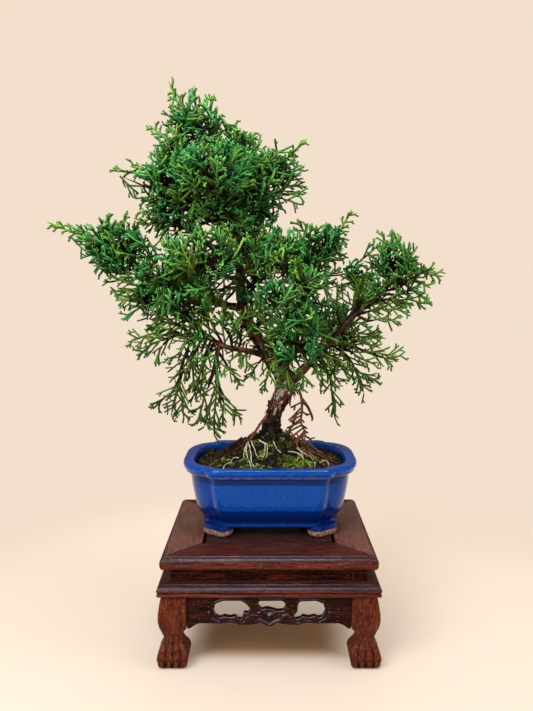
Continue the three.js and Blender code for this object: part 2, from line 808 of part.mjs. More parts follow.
// A pad grows from the end of its limb round a centre, within radii on X, Y and Z. Core is the
// share of the radii that its dense heart fills. Sprays is how many sprays stand out of it, and
// shoots are the tips of its long free shoots.
const pads = [
  {
    name: "crown_top",
    limb: "trunk",
    centre: [-45, 3, 345],
    radii: [21, 19, 16],
    core: 0.58,
    sprays: 15,
    shoots: [[-65, 2, 369], [-49, 3, 367], [-37, 4, 363], [-30, 6, 353]],
  },
  {
    name: "crown_left",
    limb: "crown_left",
    centre: [-60, -7, 325],
    radii: [22, 20, 14],
    core: 0.58,
    sprays: 14,
    shoots: [[-103, -8, 312], [-77, -4, 341]],
  },
  {
    name: "crown_right",
    limb: "crown_right",
    centre: [-12, 12, 328],
    radii: [22, 20, 15],
    core: 0.58,
    sprays: 14,
    shoots: [[24, 8, 334], [-5, 12, 341]],
  },
  {
    name: "crown_far_right",
    limb: "crown_far_right",
    centre: [8, 6, 308],
    radii: [16, 17, 14],
    core: 0.55,
    sprays: 11,
    shoots: [[26, 6, 305], [23, 8, 317]],
  },
  {
    name: "crown_low_left",
    limb: "crown_low_left",
    centre: [-68, -7, 296],
    radii: [20, 18, 13],
    core: 0.55,
    sprays: 12,
    shoots: [[-88, -8, 296], [-85, -10, 284]],
  },
  {
    name: "crown_front",
    limb: "crown_front",
    centre: [-36, -31, 306],
    radii: [24, 17, 17],
    core: 0.58,
    sprays: 15,
    shoots: [],
  },
  {
    name: "crown_inner",
    limb: "crown_inner",
    centre: [-1, 3, 284],
    radii: [18, 17, 14],
    core: 0.48,
    sprays: 11,
    shoots: [[15, 6, 277]],
  },
  {
    name: "left",
    limb: "left",
    centre: [-102, -4, 259],
    radii: [24, 22, 17],
    core: 0.52,
    sprays: 15,
    shoots: [[-146, -4, 279], [-126, -8, 268], [-94, -4, 281]],
  },
  {
    name: "front_left",
    limb: "front_left",
    centre: [-41, -37, 255],
    radii: [25, 18, 16],
    core: 0.58,
    sprays: 15,
    shoots: [[-66, -38, 262]],
  },
  {
    name: "left_low",
    limb: "left_low",
    centre: [-85, -19, 225],
    radii: [17, 15, 11],
    core: 0.48,
    sprays: 10,
    shoots: [[-104, -16, 225], [-101, -14, 215]],
  },
  {
    name: "lower_left_upper",
    limb: "low_left_rise",
    centre: [-50, -25, 220],
    radii: [21, 17, 13],
    core: 0.5,
    sprays: 12,
    shoots: [],
  },
  {
    name: "lower_left_outer",
    limb: "low_left",
    centre: [-76, -17, 203],
    radii: [17, 15, 14],
    core: 0.48,
    sprays: 11,
    shoots: [[-95, -16, 200], [-85, -16, 186]],
  },
  {
    name: "lower_left_hanging",
    limb: "low_left_drop",
    centre: [-62, -21, 173],
    radii: [14, 13, 17],
    core: 0.46,
    sprays: 11,
    shoots: [[-74, -20, 160], [-66, -18, 152], [-56, -22, 153]],
  },
  {
    name: "hanging",
    limb: "hanging",
    centre: [-38, -24, 164],
    radii: [14, 13, 16],
    core: 0.46,
    sprays: 11,
    shoots: [[-50, -22, 139], [-35, -22, 141], [-18, -26, 155]],
  },
  {
    name: "mid_right",
    limb: "rising_right",
    centre: [39, 13, 265],
    radii: [20, 19, 16],
    core: 0.55,
    sprays: 14,
    shoots: [[56, 10, 288], [19, 14, 281], [27, 12, 284]],
  },
  {
    name: "mid_front",
    limb: "mid_front",
    centre: [9, -24, 257],
    radii: [15, 14, 15],
    core: 0.55,
    sprays: 10,
    shoots: [],
  },
  {
    name: "front_right",
    limb: "front_right",
    centre: [14, -42, 229],
    radii: [22, 17, 18],
    core: 0.57,
    sprays: 15,
    shoots: [],
  },
  {
    name: "far_right",
    limb: "right",
    centre: [85, 0, 248],
    radii: [24, 22, 18],
    core: 0.52,
    sprays: 15,
    shoots: [[74, 0, 273], [116, -2, 244], [111, 0, 223], [108, 2, 214]],
  },
  {
    name: "mid_far_right",
    limb: "mid_right",
    centre: [60, 14, 240],
    radii: [14, 14, 11],
    core: 0.5,
    sprays: 10,
    shoots: [],
  },
  {
    name: "lower_right",
    limb: "low_right",
    centre: [64, 0, 191],
    radii: [21, 19, 14],
    core: 0.48,
    sprays: 12,
    shoots: [[92, 0, 190], [80, 2, 164], [71, 4, 173], [45, 0, 149], [78, -4, 206]],
  },
  {
    name: "low_front",
    limb: "low_front",
    centre: [12, -33, 192],
    radii: [15, 13, 15],
    core: 0.5,
    sprays: 11,
    shoots: [[-4, -30, 168], [18, -30, 168]],
  },
  {
    name: "back_high",
    limb: "back_high",
    centre: [-30, 39, 298],
    radii: [25, 19, 20],
    core: 0.58,
    sprays: 15,
    shoots: [[-30, 64, 312]],
  },
  {
    name: "back_mid",
    limb: "back_mid",
    centre: [-9, 41, 263],
    radii: [24, 19, 18],
    core: 0.58,
    sprays: 15,
    shoots: [[-2, 66, 262]],
  },
  {
    name: "back_left",
    limb: "back_left",
    centre: [-60, 35, 240],
    radii: [22, 18, 16],
    core: 0.55,
    sprays: 14,
    shoots: [[-78, 52, 244]],
  },
  {
    name: "back_right",
    limb: "back_right",
    centre: [43, 42, 210],
    radii: [21, 18, 16],
    core: 0.55,
    sprays: 14,
    shoots: [[52, 64, 208]],
  },
];

// Stretches of wood and twig that later ones have to stay clear of, each with the group it is in.
const stretches = [];

// Least distance between two straight stretches.
function stretchDistance(a, b) {
  const u = a.end.clone().sub(a.start);
  const v = b.end.clone().sub(b.start);
  const w = a.start.clone().sub(b.start);
  const uu = u.dot(u);
  const uv = u.dot(v);
  const vv = v.dot(v);
  const denominator = uu * vv - uv * uv;
  const clamp = (t) => Math.min(1, Math.max(0, t));
  let s = denominator < 1e-6 ? 0 : clamp((uv * v.dot(w) - vv * u.dot(w)) / denominator);
  const t = clamp((uv * s + v.dot(w)) / vv);
  s = clamp((uv * t - u.dot(w)) / uu);
  const onA = a.start.clone().addScaledVector(u, s);
  const onB = b.start.clone().addScaledVector(v, t);
  return onA.distanceTo(onB);
}

// Whether a stretch comes too near to any other that is in none of the given groups.
function meets(stretch, except) {
  return stretches.some(
    (other) =>
      !except.includes(other.group) &&
      stretchDistance(stretch, other) < stretch.radius + other.radius + TWIG_CLEARANCE,
  );
}

function stretchesOf(points, radius, group) {
  const starts = points.slice(0, -1);
  return starts.map((start, i) => ({ start, end: points[i + 1], radius, group }));
}

function reserve(points, radius, group) {
  stretches.push(...stretchesOf(points, radius, group));
}

// The stem of a pad: from just past the limb's end face, along the limb at first, then to the
// heart of the pad.
function padStem(pad) {
  const limb = new THREE.CatmullRomCurve3(limbs[pad.limb].route.map(vec));
  const tangent = limb.getTangent(1);
  const start = limb.getPoint(1).addScaledVector(tangent, FIT_GAP + 0.05);
  const centre = vec(pad.centre);
  const bend = start.clone().addScaledVector(tangent, start.distanceTo(centre) * 0.5);
  return new THREE.QuadraticBezierCurve3(start, bend, centre);
}

// The heart of a pad: a rough faceted lump, which the sprays stand well out of.
function padHeart(pad, random) {
  const ball = new THREE.IcosahedronGeometry(1, 0);
  ball.deleteAttribute("normal");
  ball.deleteAttribute("uv");
  const heart = mergeVertices(ball, 1e-4);
  const position = heart.getAttribute("position");
  const radii = vec(pad.radii).multiplyScalar(pad.core);
  const corners = Array.from({ length: position.count }, (_, i) =>
    new THREE.Vector3()
      .fromBufferAttribute(position, i)
      .multiply(radii)
      .multiplyScalar(THREE.MathUtils.lerp(0.85, 1.15, random()))
      .add(vec(pad.centre)),
  );
  const facets = [];
  for (let i = 0; i < heart.index.count; i += 3) {
    facets.push([0, 1, 2].map((k) => heart.index.getX(i + k)));
  }
  return { corners, facets };
}

// Shares the facets of a heart out: none to the side where the stem comes in, one to each free
// shoot, then one to each spray, always the facet farthest from those already taken.
function shareFacets(pad, directions, entry) {
  const taken = new Map();
  const free = () => directions.map((_, i) => i).filter((i) => !taken.has(i));
  const nearest = (way) =>
    free().reduce((a, b) => (directions[b].dot(way) > directions[a].dot(way) ? b : a));
  taken.set(nearest(entry), null);
  const centre = vec(pad.centre);
  for (const shoot of pad.shoots) {
    const way = vec(shoot).sub(centre).divide(vec(pad.radii)).normalize();
    taken.set(nearest(way), vec(shoot));
  }
  const crowding = (f) => Math.max(...[...taken.keys()].map((t) => directions[f].dot(directions[t])));
  for (let i = 0; i < pad.sprays; i++) {
    const facet = free().reduce((a, b) => (crowding(b) < crowding(a) - 1e-6 ? b : a));
    taken.set(facet, "spray");
  }
  return taken;
}

// The way of a spray from a facet of the heart to its tip, shortened until it is clear of the rest.
const SPRAY_SHARES = [1, 0.86, 0.72];
function sprayCurve(pad, foot, tip, group) {
  const centre = vec(pad.centre);
  const outward = foot.clone().sub(centre).normalize();
  for (const share of SPRAY_SHARES) {
    const end = foot.clone().lerp(tip, share);
    const bend = foot.clone().addScaledVector(outward, foot.distanceTo(end) * 0.45);
    bend.z -= foot.distanceTo(end) * SPRAY_SAG;
    const curve = new THREE.QuadraticBezierCurve3(foot, bend, end);
    const knots = curve.getPoints(3);
    const trial = stretchesOf(knots, SPRAY_GIRTH, group);
    if (trial.some((stretch) => meets(stretch, [`${pad.name} heart`]))) continue;
    reserve(knots, SPRAY_GIRTH, group);
    return curve;
  }
  return null;
}

// Rings of a spray along its curve. A free shoot starts slim, and has two whorls of branchlets.
function sprayRings(curve, corner) {
  const length = curve.v0.distanceTo(curve.v2);
  const gap = WHORL_WIDTH / length / 2;
  const whorls = length > LONG_SPRAY ? WHORL_PLACES.long : WHORL_PLACES.short;
  const places = whorls.flatMap((t) => [t - gap, t + gap]);
  if (length > LONG_SPRAY) places.unshift(LONG_SPRAY_START / length);
  const rings = places.map((t) => {
    const tangent = curve.getTangent(t);
    const u = corner.clone().sub(curve.v0).projectOnPlane(tangent).normalize();
    const v = tangent.clone().cross(u);
    return [0, 1, 2].map((i) => {
      const angle = (i * Math.PI * 2) / 3;
      return curve
        .getPoint(t)
        .addScaledVector(u, Math.cos(angle) * STEM_RADIUS)
        .addScaledVector(v, Math.sin(angle) * STEM_RADIUS);
    });
  });
  const whorled = places.map((t) => whorls.some((w) => t > w && t < w + 2 * gap));
  return { places, rings, whorled };
}

// One pad: sprays raised from the facets of its heart, with whorls of branchlets raised in turn
// from the faces of the sprays, all one skin, joined to the stem.
function padSolid(pad, seed, clearanceWood) {
  const random = seededRandom(seed);
  const centre = vec(pad.centre);
  const stem = padStem(pad);
  const { corners, facets } = padHeart(pad, random);
  const positions = [...corners];
  const feet = facets.map((facet) => centreOf(facet.map((i) => corners[i])));
  const directions = feet.map((foot) => foot.clone().sub(centre).divide(vec(pad.radii)).normalize());
  const entry = stem.v0.clone().sub(centre).divide(vec(pad.radii)).normalize();
  const taken = shareFacets(pad, directions, entry);

  const curves = new Map();
  for (const [f, aim] of taken) {
    if (!aim) continue;
    const reach = THREE.MathUtils.lerp(...SPRAY_REACH, random());
    const tip = aim === "spray" ? directions[f].clone().multiplyScalar(reach) : null;
    if (tip) tip.multiply(vec(pad.radii)).add(centre);
    const curve = sprayCurve(pad, feet[f], tip ?? aim, `${pad.name} ${f}`);
    if (curve) curves.set(f, curve);
  }

  const faces = [];
  const addPoint = (ring, point) => {
    const p = positions.push(point) - 1;
    ring.forEach((corner, i) => faces.push([corner, ring[(i + 1) % ring.length], p]));
  };
  const raise = (ids, tangent, angle, taper, group) => {
    const [a, b, c] = ids.map((i) => positions[i]);
    const foot = centreOf([a, b, c]);
    const normal = b.clone().sub(a).cross(c.clone().sub(a)).normalize();
    const reach = THREE.MathUtils.lerp(...BRANCHLET_LENGTH, random()) * taper;
    const point = foot
      .clone()
      .addScaledVector(tangent, reach * Math.cos(angle))
      .addScaledVector(normal, reach * Math.sin(angle));
    point.z += reach * BRANCHLET_LIFT;
    const start = foot.clone().addScaledVector(normal, 2 * BRANCHLET_RADIUS);
    const branchlet = { start, end: point, radius: BRANCHLET_RADIUS };
    if (meets(branchlet, [group, group.replace(/ whorl.*/, ""), `${pad.name} heart`])) {
      faces.push(ids);
      return;
    }
    reserve([start, point], BRANCHLET_RADIUS, group);
    addPoint(ids, point);
  };

  facets.forEach((facet, f) => {
    const curve = curves.get(f);
    if (!curve) {
      faces.push(facet);
      return;
    }
    const { places, rings, whorled } = sprayRings(curve, corners[facet[0]]);
    let below = facet;
    rings.forEach((ring, r) => {
      const above = ring.map((p) => positions.push(p) - 1);
      for (let i = 0; i < 3; i++) {
        const j = (i + 1) % 3;
        const pair = [
          [below[i], below[j], above[j]],
          [below[i], above[j], above[i]],
        ];
        if (!whorled[r]) {
          faces.push(...pair);
          continue;
        }
        const tangent = curve.getTangent(places[r]);
        const taper = 1 + BRANCHLET_TAPER * (WHORL_PLACES.long[0] - places[r]);
        pair.forEach((ids, k) => {
          const angle = BRANCHLET_LEAN[k] + (random() - 0.5) * BRANCHLET_LEAN_SPREAD;
          raise(ids, tangent, angle, taper, `${pad.name} ${f} whorl ${r}`);
        });
      }
      below = above;
    });
    addPoint(below, curve.v2);
  });

  const geometry = new THREE.BufferGeometry();
  const flat = positions.flatMap((p) => p.toArray());
  geometry.setAttribute("position", new THREE.Float32BufferAttribute(flat, 3));
  geometry.setIndex(faces.flat());
  const route = stem.getPoints(3).map((p) => p.toArray());
  const tube = limbGeometry({ route, radii: PAD_STEM_RADII }, 0, seed);
  const joined = solidOf(geometry).add(solidOf(tube));
  return mainBody(joined.subtract(clearanceWood).simplify(SMOOTHING.fine));
}

// Every pad keeps clear of the wood, and of the hearts and stems of all the others.
const ROUGHNESS = { bark: 1.15, heart: 1.1 };
function reserveWoodAndHearts() {
  for (const { route, radii } of Object.values(limbs)) {
    for (let i = 0; i + 1 < route.length; i++) {
      const radius = Math.max(radii[i], radii[i + 1]) * ROUGHNESS.bark;
      reserve([vec(route[i]), vec(route[i + 1])], radius, "wood");
    }
  }
  for (const pad of pads) {
    const centre = vec(pad.centre);
    const [x, y, z] = pad.radii.map((radius) => radius * pad.core);
    const girth = (y + z) / 2;
    const along = new THREE.Vector3(Math.max(x - girth, 0.1), 0, 0);
    const ends = [centre.clone().sub(along), centre.clone().add(along)];
    reserve(ends, girth * ROUGHNESS.heart, `${pad.name} heart`);
    const stem = padStem(pad).getPoints(3).slice(0, 3);
    reserve(stem, PAD_STEM_RADII[0] * ROUGHNESS.heart, `${pad.name} stem`);
  }
}

// The whole

const FIRST_PAD_SEED = 101;

function bonsai() {
  const group = new THREE.Group();
  group.add(stand());

  const pot = new THREE.Group();
  pot.position.set(POT_CENTRE.x, POT_CENTRE.y, potBase);
  pot.add(meshOf("pot", geometryOf(potSolid()), looks.glaze));
  for (const [side, name] of [[-1, "drain_screen_left"], [1, "drain_screen_right"]]) {
    const screen = meshOf(name, geometryOf(screenSolid()), looks.screen);
    screen.position.set(side * DRAIN_OFFSET, 0, POT_FLOOR + FIT_GAP / 2);
    pot.add(screen);
  }
  group.add(pot);

  const clearanceWood = woodSolid(FIT_GAP);
  group.add(meshOf("trunk_and_branches", geometryOf(woodSolid(0)), looks.bark));
  group.add(meshOf("soil", geometryOf(soilSolid(clearanceWood)), looks.soil));

  reserveWoodAndHearts();
  pads.forEach((pad, i) => {
    const solid = padSolid(pad, FIRST_PAD_SEED + i, clearanceWood);
    group.add(meshOf(`foliage_${pad.name}`, geometryOf(solid), looks.foliage));
  });
  return group;
}

const model = new THREE.Group();
const tree = bonsai();
model.add(tree);
const bounds = new THREE.Box3().setFromObject(tree, true);
const middle = bounds.getCenter(new THREE.Vector3());
tree.position.set(-middle.x, -middle.y, -bounds.min.z);

export default model;
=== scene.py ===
"""Dresses the packed juniper bonsai: its stand, pot, soil, wood and foliage, and a plain stage.

Sizes are in millimetres round the middle of the stand, with the front of the tree towards -Y.
A finished piece is brought into the frame, in metres, by settle().
"""

import json
import math
from contextlib import contextmanager

import bmesh
import bpy
import numpy as np
from bpy.props import FloatProperty, FloatVectorProperty, IntProperty, PointerProperty
from mathutils import Matrix, Vector, noise

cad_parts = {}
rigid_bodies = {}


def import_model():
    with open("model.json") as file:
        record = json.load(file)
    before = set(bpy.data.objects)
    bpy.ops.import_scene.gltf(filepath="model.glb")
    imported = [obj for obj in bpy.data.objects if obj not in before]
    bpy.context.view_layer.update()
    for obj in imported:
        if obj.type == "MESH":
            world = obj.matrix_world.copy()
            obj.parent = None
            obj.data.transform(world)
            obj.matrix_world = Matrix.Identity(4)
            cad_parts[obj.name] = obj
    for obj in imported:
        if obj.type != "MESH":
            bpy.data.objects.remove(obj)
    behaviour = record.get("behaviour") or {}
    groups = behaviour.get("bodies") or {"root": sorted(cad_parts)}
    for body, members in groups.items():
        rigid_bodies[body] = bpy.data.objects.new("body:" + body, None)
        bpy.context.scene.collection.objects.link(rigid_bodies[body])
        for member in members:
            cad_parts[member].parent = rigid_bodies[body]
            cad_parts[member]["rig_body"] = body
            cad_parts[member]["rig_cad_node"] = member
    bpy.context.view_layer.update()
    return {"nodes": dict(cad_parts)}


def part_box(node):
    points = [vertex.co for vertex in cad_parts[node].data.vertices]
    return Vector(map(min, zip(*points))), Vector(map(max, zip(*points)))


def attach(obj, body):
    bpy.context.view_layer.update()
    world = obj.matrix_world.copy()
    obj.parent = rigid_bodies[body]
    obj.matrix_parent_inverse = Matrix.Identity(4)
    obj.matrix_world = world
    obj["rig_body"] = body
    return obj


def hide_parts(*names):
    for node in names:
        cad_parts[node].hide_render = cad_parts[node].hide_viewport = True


bl_info = {
    "name": "Juniper bonsai on a stand", "version": (1, 0, 0), "blender": (4, 5, 0),
    "location": "View3D > Sidebar > Bonsai",
    "description": "Builds a juniper bonsai in its pot on a stand, round the packed frame",
    "category": "Add Mesh",
}

MM = 0.001
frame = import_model()

# The middle of the stand in the frame, and its height, taken from its legs and its top
_foot_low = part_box("stand_leg_front_left")[0]
_foot_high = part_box("stand_leg_back_right")[1]
STAND_MIDDLE = Vector(((_foot_low.x + _foot_high.x) / 2, (_foot_low.y + _foot_high.y) / 2, 0))
STAND_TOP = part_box("stand_top_rail_front")[1].z / MM
TO_FRAME = Matrix.Translation(STAND_MIDDLE) @ Matrix.Diagonal((MM, MM, MM, 1))
TO_MILLIMETRES = TO_FRAME.inverted()


def box_mm(node):
    """Lowest and highest corner of a CAD node, in millimetres round the middle of the stand."""
    low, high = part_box(node)
    return TO_MILLIMETRES @ low, TO_MILLIMETRES @ high


# Settings that a user would change


def number(name, description, default, low, high):
    """A setting that is a number between two limits."""
    return FloatProperty(name=name, description=description, default=default, min=low, max=high)


def amount(name, description, default, high):
    """A setting that is a whole number up to a limit."""
    return IntProperty(name=name, description=description, default=default, min=0, max=high)


def colour(name, description, default):
    """A setting that is a colour."""
    limits = {"subtype": "COLOR", "size": 3, "min": 0.0, "max": 1.0}
    return FloatVectorProperty(name=name, description=description, default=default, **limits)


class StandSettings(bpy.types.PropertyGroup):
    """Edges and carving of the stand, in millimetres."""

    edge_rounding: number("Edge rounding", "Radius that wear and oil give to the rails", 0.35, 0.05, 1.0)
    carving_grain: number("Carving grain", "Size of the facets of carved wood", 0.55, 0.3, 1.5)
    bead_radius: number("Bead radius", "Radius of the bead round the pierced scrolls", 0.75, 0.2, 2.0)


class PotSettings(bpy.types.PropertyGroup):
    """Detail and colour of the pot."""

    outline_step: number("Outline step", "Millimetres between the points of its outline", 1.6, 0.5, 5.0)
    glaze_colour: colour("Glaze colour", "Colour of the glaze on the wall", (0.002, 0.055, 0.33))


class SoilSettings(bpy.types.PropertyGroup):
    """Amounts of grit, litter and moss on the soil."""

    grains: amount("Grains", "Number of loose grains of grit", 1100, 5000)
    litter: amount("Litter", "Number of dead twigs and fallen cords that lie on the soil", 520, 3000)
    moss_tufts: amount("Moss tufts", "Number of places where a tuft of moss may stand", 5200, 12000)


class WoodSettings(bpy.types.PropertyGroup):
    """Detail of the trunk."""

    bark_depth: number("Bark depth", "Depth of the furrows in the old bark, in millimetres", 1.9, 0.0, 3.0)
    flakes: amount("Flakes", "Number of peeling flakes on the lower trunk", 270, 600)


class FoliageSettings(bpy.types.PropertyGroup):
    """Amount and girth of the foliage."""

    density: number("Density", "Number of sprays, against the tree as it is", 1.0, 0.2, 2.0)
    cord_radius: number("Cord radius", "Radius of a cord of scale leaves, in millimetres", 0.7, 0.3, 1.5)


class StageSettings(bpy.types.PropertyGroup):
    """The backdrop and the light."""

    backdrop_colour: colour("Backdrop colour", "Colour round the stand's floor", (0.888, 0.745, 0.604))
    key_power: number("Key light", "Power of the soft light above the front, in watts", 7.0, 0.0, 100.0)


SETTINGS = {
    "bonsai_stand": StandSettings, "bonsai_pot": PotSettings, "bonsai_soil": SoilSettings,
    "bonsai_wood": WoodSettings, "bonsai_foliage": FoliageSettings, "bonsai_stage": StageSettings,
}


# Materials


def linear(hex_colour):
    """A linear colour with alpha from an sRGB one such as "#4a2318"."""
    channels = [int(hex_colour[i : i + 2], 16) / 255 for i in (1, 3, 5)]
    return tuple(c / 12.92 if c <= 0.04045 else ((c + 0.055) / 1.055) ** 2.4 for c in channels) + (1.0,)


class Nodes:
    """The nodes of a tree. An input is a value, an sRGB colour or the output of another node."""

    def __init__(self, tree):
        self.tree = tree

    def feed(self, socket, value):
        """Links a socket to the output of a node, or gives it a value."""
        if isinstance(value, bpy.types.NodeSocket):
            self.tree.links.new(value, socket)
        else:
            socket.default_value = linear(value) if isinstance(value, str) else value

    def add(self, kind, inputs=(), output=0, **properties):
        """Adds a node with its properties and inputs, and gives one of its outputs."""
        made = self.tree.nodes.new("ShaderNode" + kind)
        for key, value in properties.items():
            setattr(made, key, value)
        for key, value in dict(inputs).items():
            self.feed(made.inputs[key], value)
        return made.outputs[output]

    def place(self):
        return self.add("TexCoord", output="Object")

    def attribute(self, name, output="Fac"):
        return self.add("Attribute", output=output, attribute_name=name)

    def noise(self, place, scale, detail, roughness=0.5, distortion=0.0):
        inputs = {"Vector": place, "Scale": scale, "Detail": detail}
        inputs.update(Roughness=roughness, Distortion=distortion)
        return self.add("TexNoise", inputs, "Fac")

    def ramp(self, value, stops):
        """Colours along a value. A stop's colour is sRGB, or a number for a grey."""
        made = self.tree.nodes.new("ShaderNodeValToRGB")
        self.feed(made.inputs["Fac"], value)
        elements = made.color_ramp.elements
        while len(elements) < len(stops):
            elements.new(0.5)
        for element, (position, colour) in zip(elements, stops):
            element.position = position
            element.color = linear(colour) if isinstance(colour, str) else (colour,) * 3 + (1.0,)
        return made.outputs["Color"]

    def mix(self, share, below, above, blend="MIX"):
        """A colour between two others."""
        inputs = {"Factor": share, 6: below, 7: above}
        return self.add("Mix", inputs, 2, data_type="RGBA", blend_type=blend)

    def ranged(self, value, low, high, to_low=0.0, to_high=1.0, kind="LINEAR"):
        """A value brought from one range to another, and held inside it."""
        inputs = {"Value": value, "From Min": low, "From Max": high}
        inputs.update({"To Min": to_low, "To Max": to_high})
        return self.add("MapRange", inputs, interpolation_type=kind)

    def smoothed(self, value, low, high):
        """Rises smoothly from 0 to 1 while a value goes from low to high."""
        return self.ranged(value, low, high, kind="SMOOTHSTEP")

    def sum_of(self, operation, *terms):
        """The result of a sum on numbers and outputs."""
        return self.add("Math", dict(enumerate(terms)), operation=operation)

    def bump(self, height, strength, depth):
        """Relief from a height, so many millimetres deep."""
        inputs = {"Height": height, "Strength": strength, "Distance": depth * MM}
        return self.add("Bump", inputs)


def blank_material(name):
    """A new material, its nodes and a function that sets the inputs of its shader."""
    material = bpy.data.materials.new(name)
    material.use_nodes = True
    nodes = Nodes(material.node_tree)
    shader = material.node_tree.nodes["Principled BSDF"]

    def finish(colour, roughness, specular, **others):
        inputs = {"Base Color": colour, "Roughness": roughness, "Specular IOR Level": specular}
        for key, value in {**inputs, **others}.items():
            nodes.feed(shader.inputs[key.replace("_", " ")], value)
        return material

    return nodes, finish


def per_metre(*millimetres):
    """Scales of a pattern that repeats at these distances."""
    return tuple(1 / (size * MM) for size in millimetres)


def rosewood(name, grain, shades, gloss, slope):
    """Rosewood, planed or carved and then oiled: streaks of dark and light red brown along the grain,
    short open pores, pale worn flecks, painted shade in the carved lines and a dull shine."""
    nodes, finish = blank_material(name)
    place = nodes.place()

    def drawn_out(across, along, *detail):
        """Noise that is drawn out along the grain."""
        sizes = [across] * 3
        sizes["xyz".index(grain)] = along
        inputs = {"Vector": place, "Scale": per_metre(*sizes), "Rotation": (0, slope, 0)}
        return nodes.noise(nodes.add("Mapping", inputs), 1.0, *detail)

    streaks = drawn_out(1.2, 20, 4.0, 0.6, 0.4)
    tone = nodes.ramp(streaks, list(zip((0.3, 0.5, 0.72), shades)))
    pores = nodes.ramp(drawn_out(0.45, 4.5, 2.0), [(0.38, 0.3), (0.48, 1.0)])
    porous = nodes.mix(1.0, tone, pores, "MULTIPLY")
    flecks = nodes.ranged(drawn_out(0.5, 1.3, 1.0), 0.69, 0.76, 0.0, 0.6)
    flecked = nodes.mix(flecks, porous, "#b98d7c")
    # Painted shade: the carved attribute darkens the carved lines and the panel's slit towards near black.
    groove_shaded = nodes.mix(nodes.attribute("carved"), flecked, "#0c0403")
    rough = nodes.ranged(streaks, 0.0, 1.0, 0.26, 0.42)
    tint = (0.6, 0.8, 1.0, 1.0)
    return finish(groove_shaded, rough, gloss, Normal=nodes.bump(pores, 0.35, 0.3), Specular_Tint=tint)


# Shades from dark to light, gloss, and slope of the grain. Several are lit and shaded copies of the
# one rosewood, with light and shade painted in: the flat tops of the side rails are painted lighter
# and greyer for the light that washes over them; the panel under the pot, the waist under the top
# and the aprons under the moulding are painted darker for the shade there; the beads and ridges
# that lean up to the light are painted darker and greyer for the look of their highlight, and shine
# most. Edges and legs are redder.
WOOD_SHADES = {
    "top": (("#4a2c23", "#6c4337", "#805548"), 0.25, 0.0),
    "panel": (("#170c0a", "#2f1a16", "#4a2b24"), 0.1, 0.0),
    "front": (("#220b08", "#461913", "#763428"), 0.1, 0.0),
    "edge": (("#1f0904", "#56200d", "#84351b"), 0.2, 0.25),
    "bead": (("#190a09", "#371a18", "#532b27"), 0.24, 0.0),
    "waist": (("#0c0301", "#240a04", "#7a2c14"), 0.05, 0.35),
    "leg": (("#250d05", "#5a230c", "#7d3b19"), 0.14, 0.0),
    "apron": (("#110503", "#2a100a", "#481f16"), 0.06, 0.0),
    "ridge": (("#140b0c", "#2b191b", "#463030"), 0.8, 0.0),
}


def cobalt_glaze(colour):
    """Stoneware in a cobalt glaze that ran in the kiln: a glassy mottled blue, thin and brown on the
    rim's edges, bare clay on the soles. It is painted navy low down for the reflection of the dark
    stand top, under the rim for the shade and reflection of the rim's underside, on the end lobes and
    on the feet, and it lies navy down the inside."""
    nodes, finish = blank_material("cobalt_glaze_fired")
    place = nodes.place()

    def clouds(size, detail):
        return nodes.noise(place, per_metre(size)[0], detail, 0.6)

    speckle = nodes.ramp(clouds(0.9, 3.0), [(0.34, "#02226b"), (0.5, "#043889"), (0.68, "#0f529f")])
    cloud = nodes.mix(0.35, speckle, (*colour, 1.0))
    waver = nodes.sum_of("MULTIPLY_ADD", clouds(4.0, 3.0), 0.6, -0.3)
    # Painted reflection and shade: this attribute turns the glaze navy in the low band, under the rim, on
    # the end lobes and on the feet.
    pooled_and_painted_dark = nodes.sum_of("ADD", nodes.attribute("pooled_and_painted_dark"), waver)
    blue = nodes.mix(nodes.smoothed(pooled_and_painted_dark, 0.2, 0.9), cloud, "#031d60")
    thin = nodes.sum_of("MULTIPLY_ADD", clouds(3.5, 3.0), 0.9, -0.05)
    edge = nodes.sum_of("MULTIPLY", nodes.attribute("thin"), thin)
    broken = nodes.mix(nodes.smoothed(edge, 0.2, 0.5), blue, "#7d6350")
    clay = nodes.ramp(clouds(1.6, 4.0), [(0.32, "#4a3226"), (0.5, "#82624c"), (0.68, "#b3937a")])
    bare = nodes.smoothed(nodes.attribute("bare"), 0.35, 0.65)
    rough = nodes.ranged(bare, 0.0, 1.0, 0.08, 0.85)
    ripple = nodes.bump(clouds(2.4, 2.0), 0.12, 0.6)
    tint = (0.4, 0.72, 1.0, 1.0)
    fired = nodes.mix(bare, broken, clay)
    return finish(fired, rough, 0.36, Normal=ripple, IOR=1.45, Specular_Tint=tint)


def flaky_bark():
    """Old juniper bark, weathered: red-brown strips with grey plates, dry; its furrows are painted near
    black for the shade in them, and its butt is painted darker.
    """
    nodes, finish = blank_material("juniper_bark_flaky")
    place = nodes.attribute("bark_place", "Vector")

    def strips(across, along, detail):
        inputs = {"Vector": place, "Scale": (1 / across, 1 / across, 1 / along)}
        return nodes.noise(nodes.add("Mapping", inputs), 1.0, detail, 0.65, 0.3)

    stops = [(0.34, "#0b0503"), (0.43, "#2f180e"), (0.55, "#5c321c"), (0.7, "#955c36")]
    strip = nodes.ramp(strips(2.2, 11, 5.0), stops)
    plate = nodes.ramp(strips(5.5, 9, 3.0), [(0.58, 0.0), (0.62, 1.0)])
    bleached = nodes.sum_of("MAXIMUM", plate, nodes.attribute("bleached"))
    grey = nodes.mix(bleached, strip, "#aca093")
    # Painted shade in the furrows, and the butt painted darker, from the depth attribute.
    furrowed = nodes.mix(nodes.attribute("depth"), grey, "#120805")
    return finish(furrowed, 0.9, 0.25, Normal=nodes.bump(strips(0.8, 5, 3.0), 0.6, 0.4))


# Shades of a cord of scale leaves from near black, painted deep inside a mass as shade, to its fresh tip,
# green and bluish.
LEAF_STOPS = [(0.0, "#1c1507"), (0.16, "#35360f"), (0.42, "#456018"), (0.7, "#65922c"), (1.0, "#9ccb40")]
BLUISH_STOPS = [(0.0, "#070b04"), (0.16, "#062a0b"), (0.42, "#1f622e"), (0.7, "#3d954e"), (1.0, "#84c64c")]


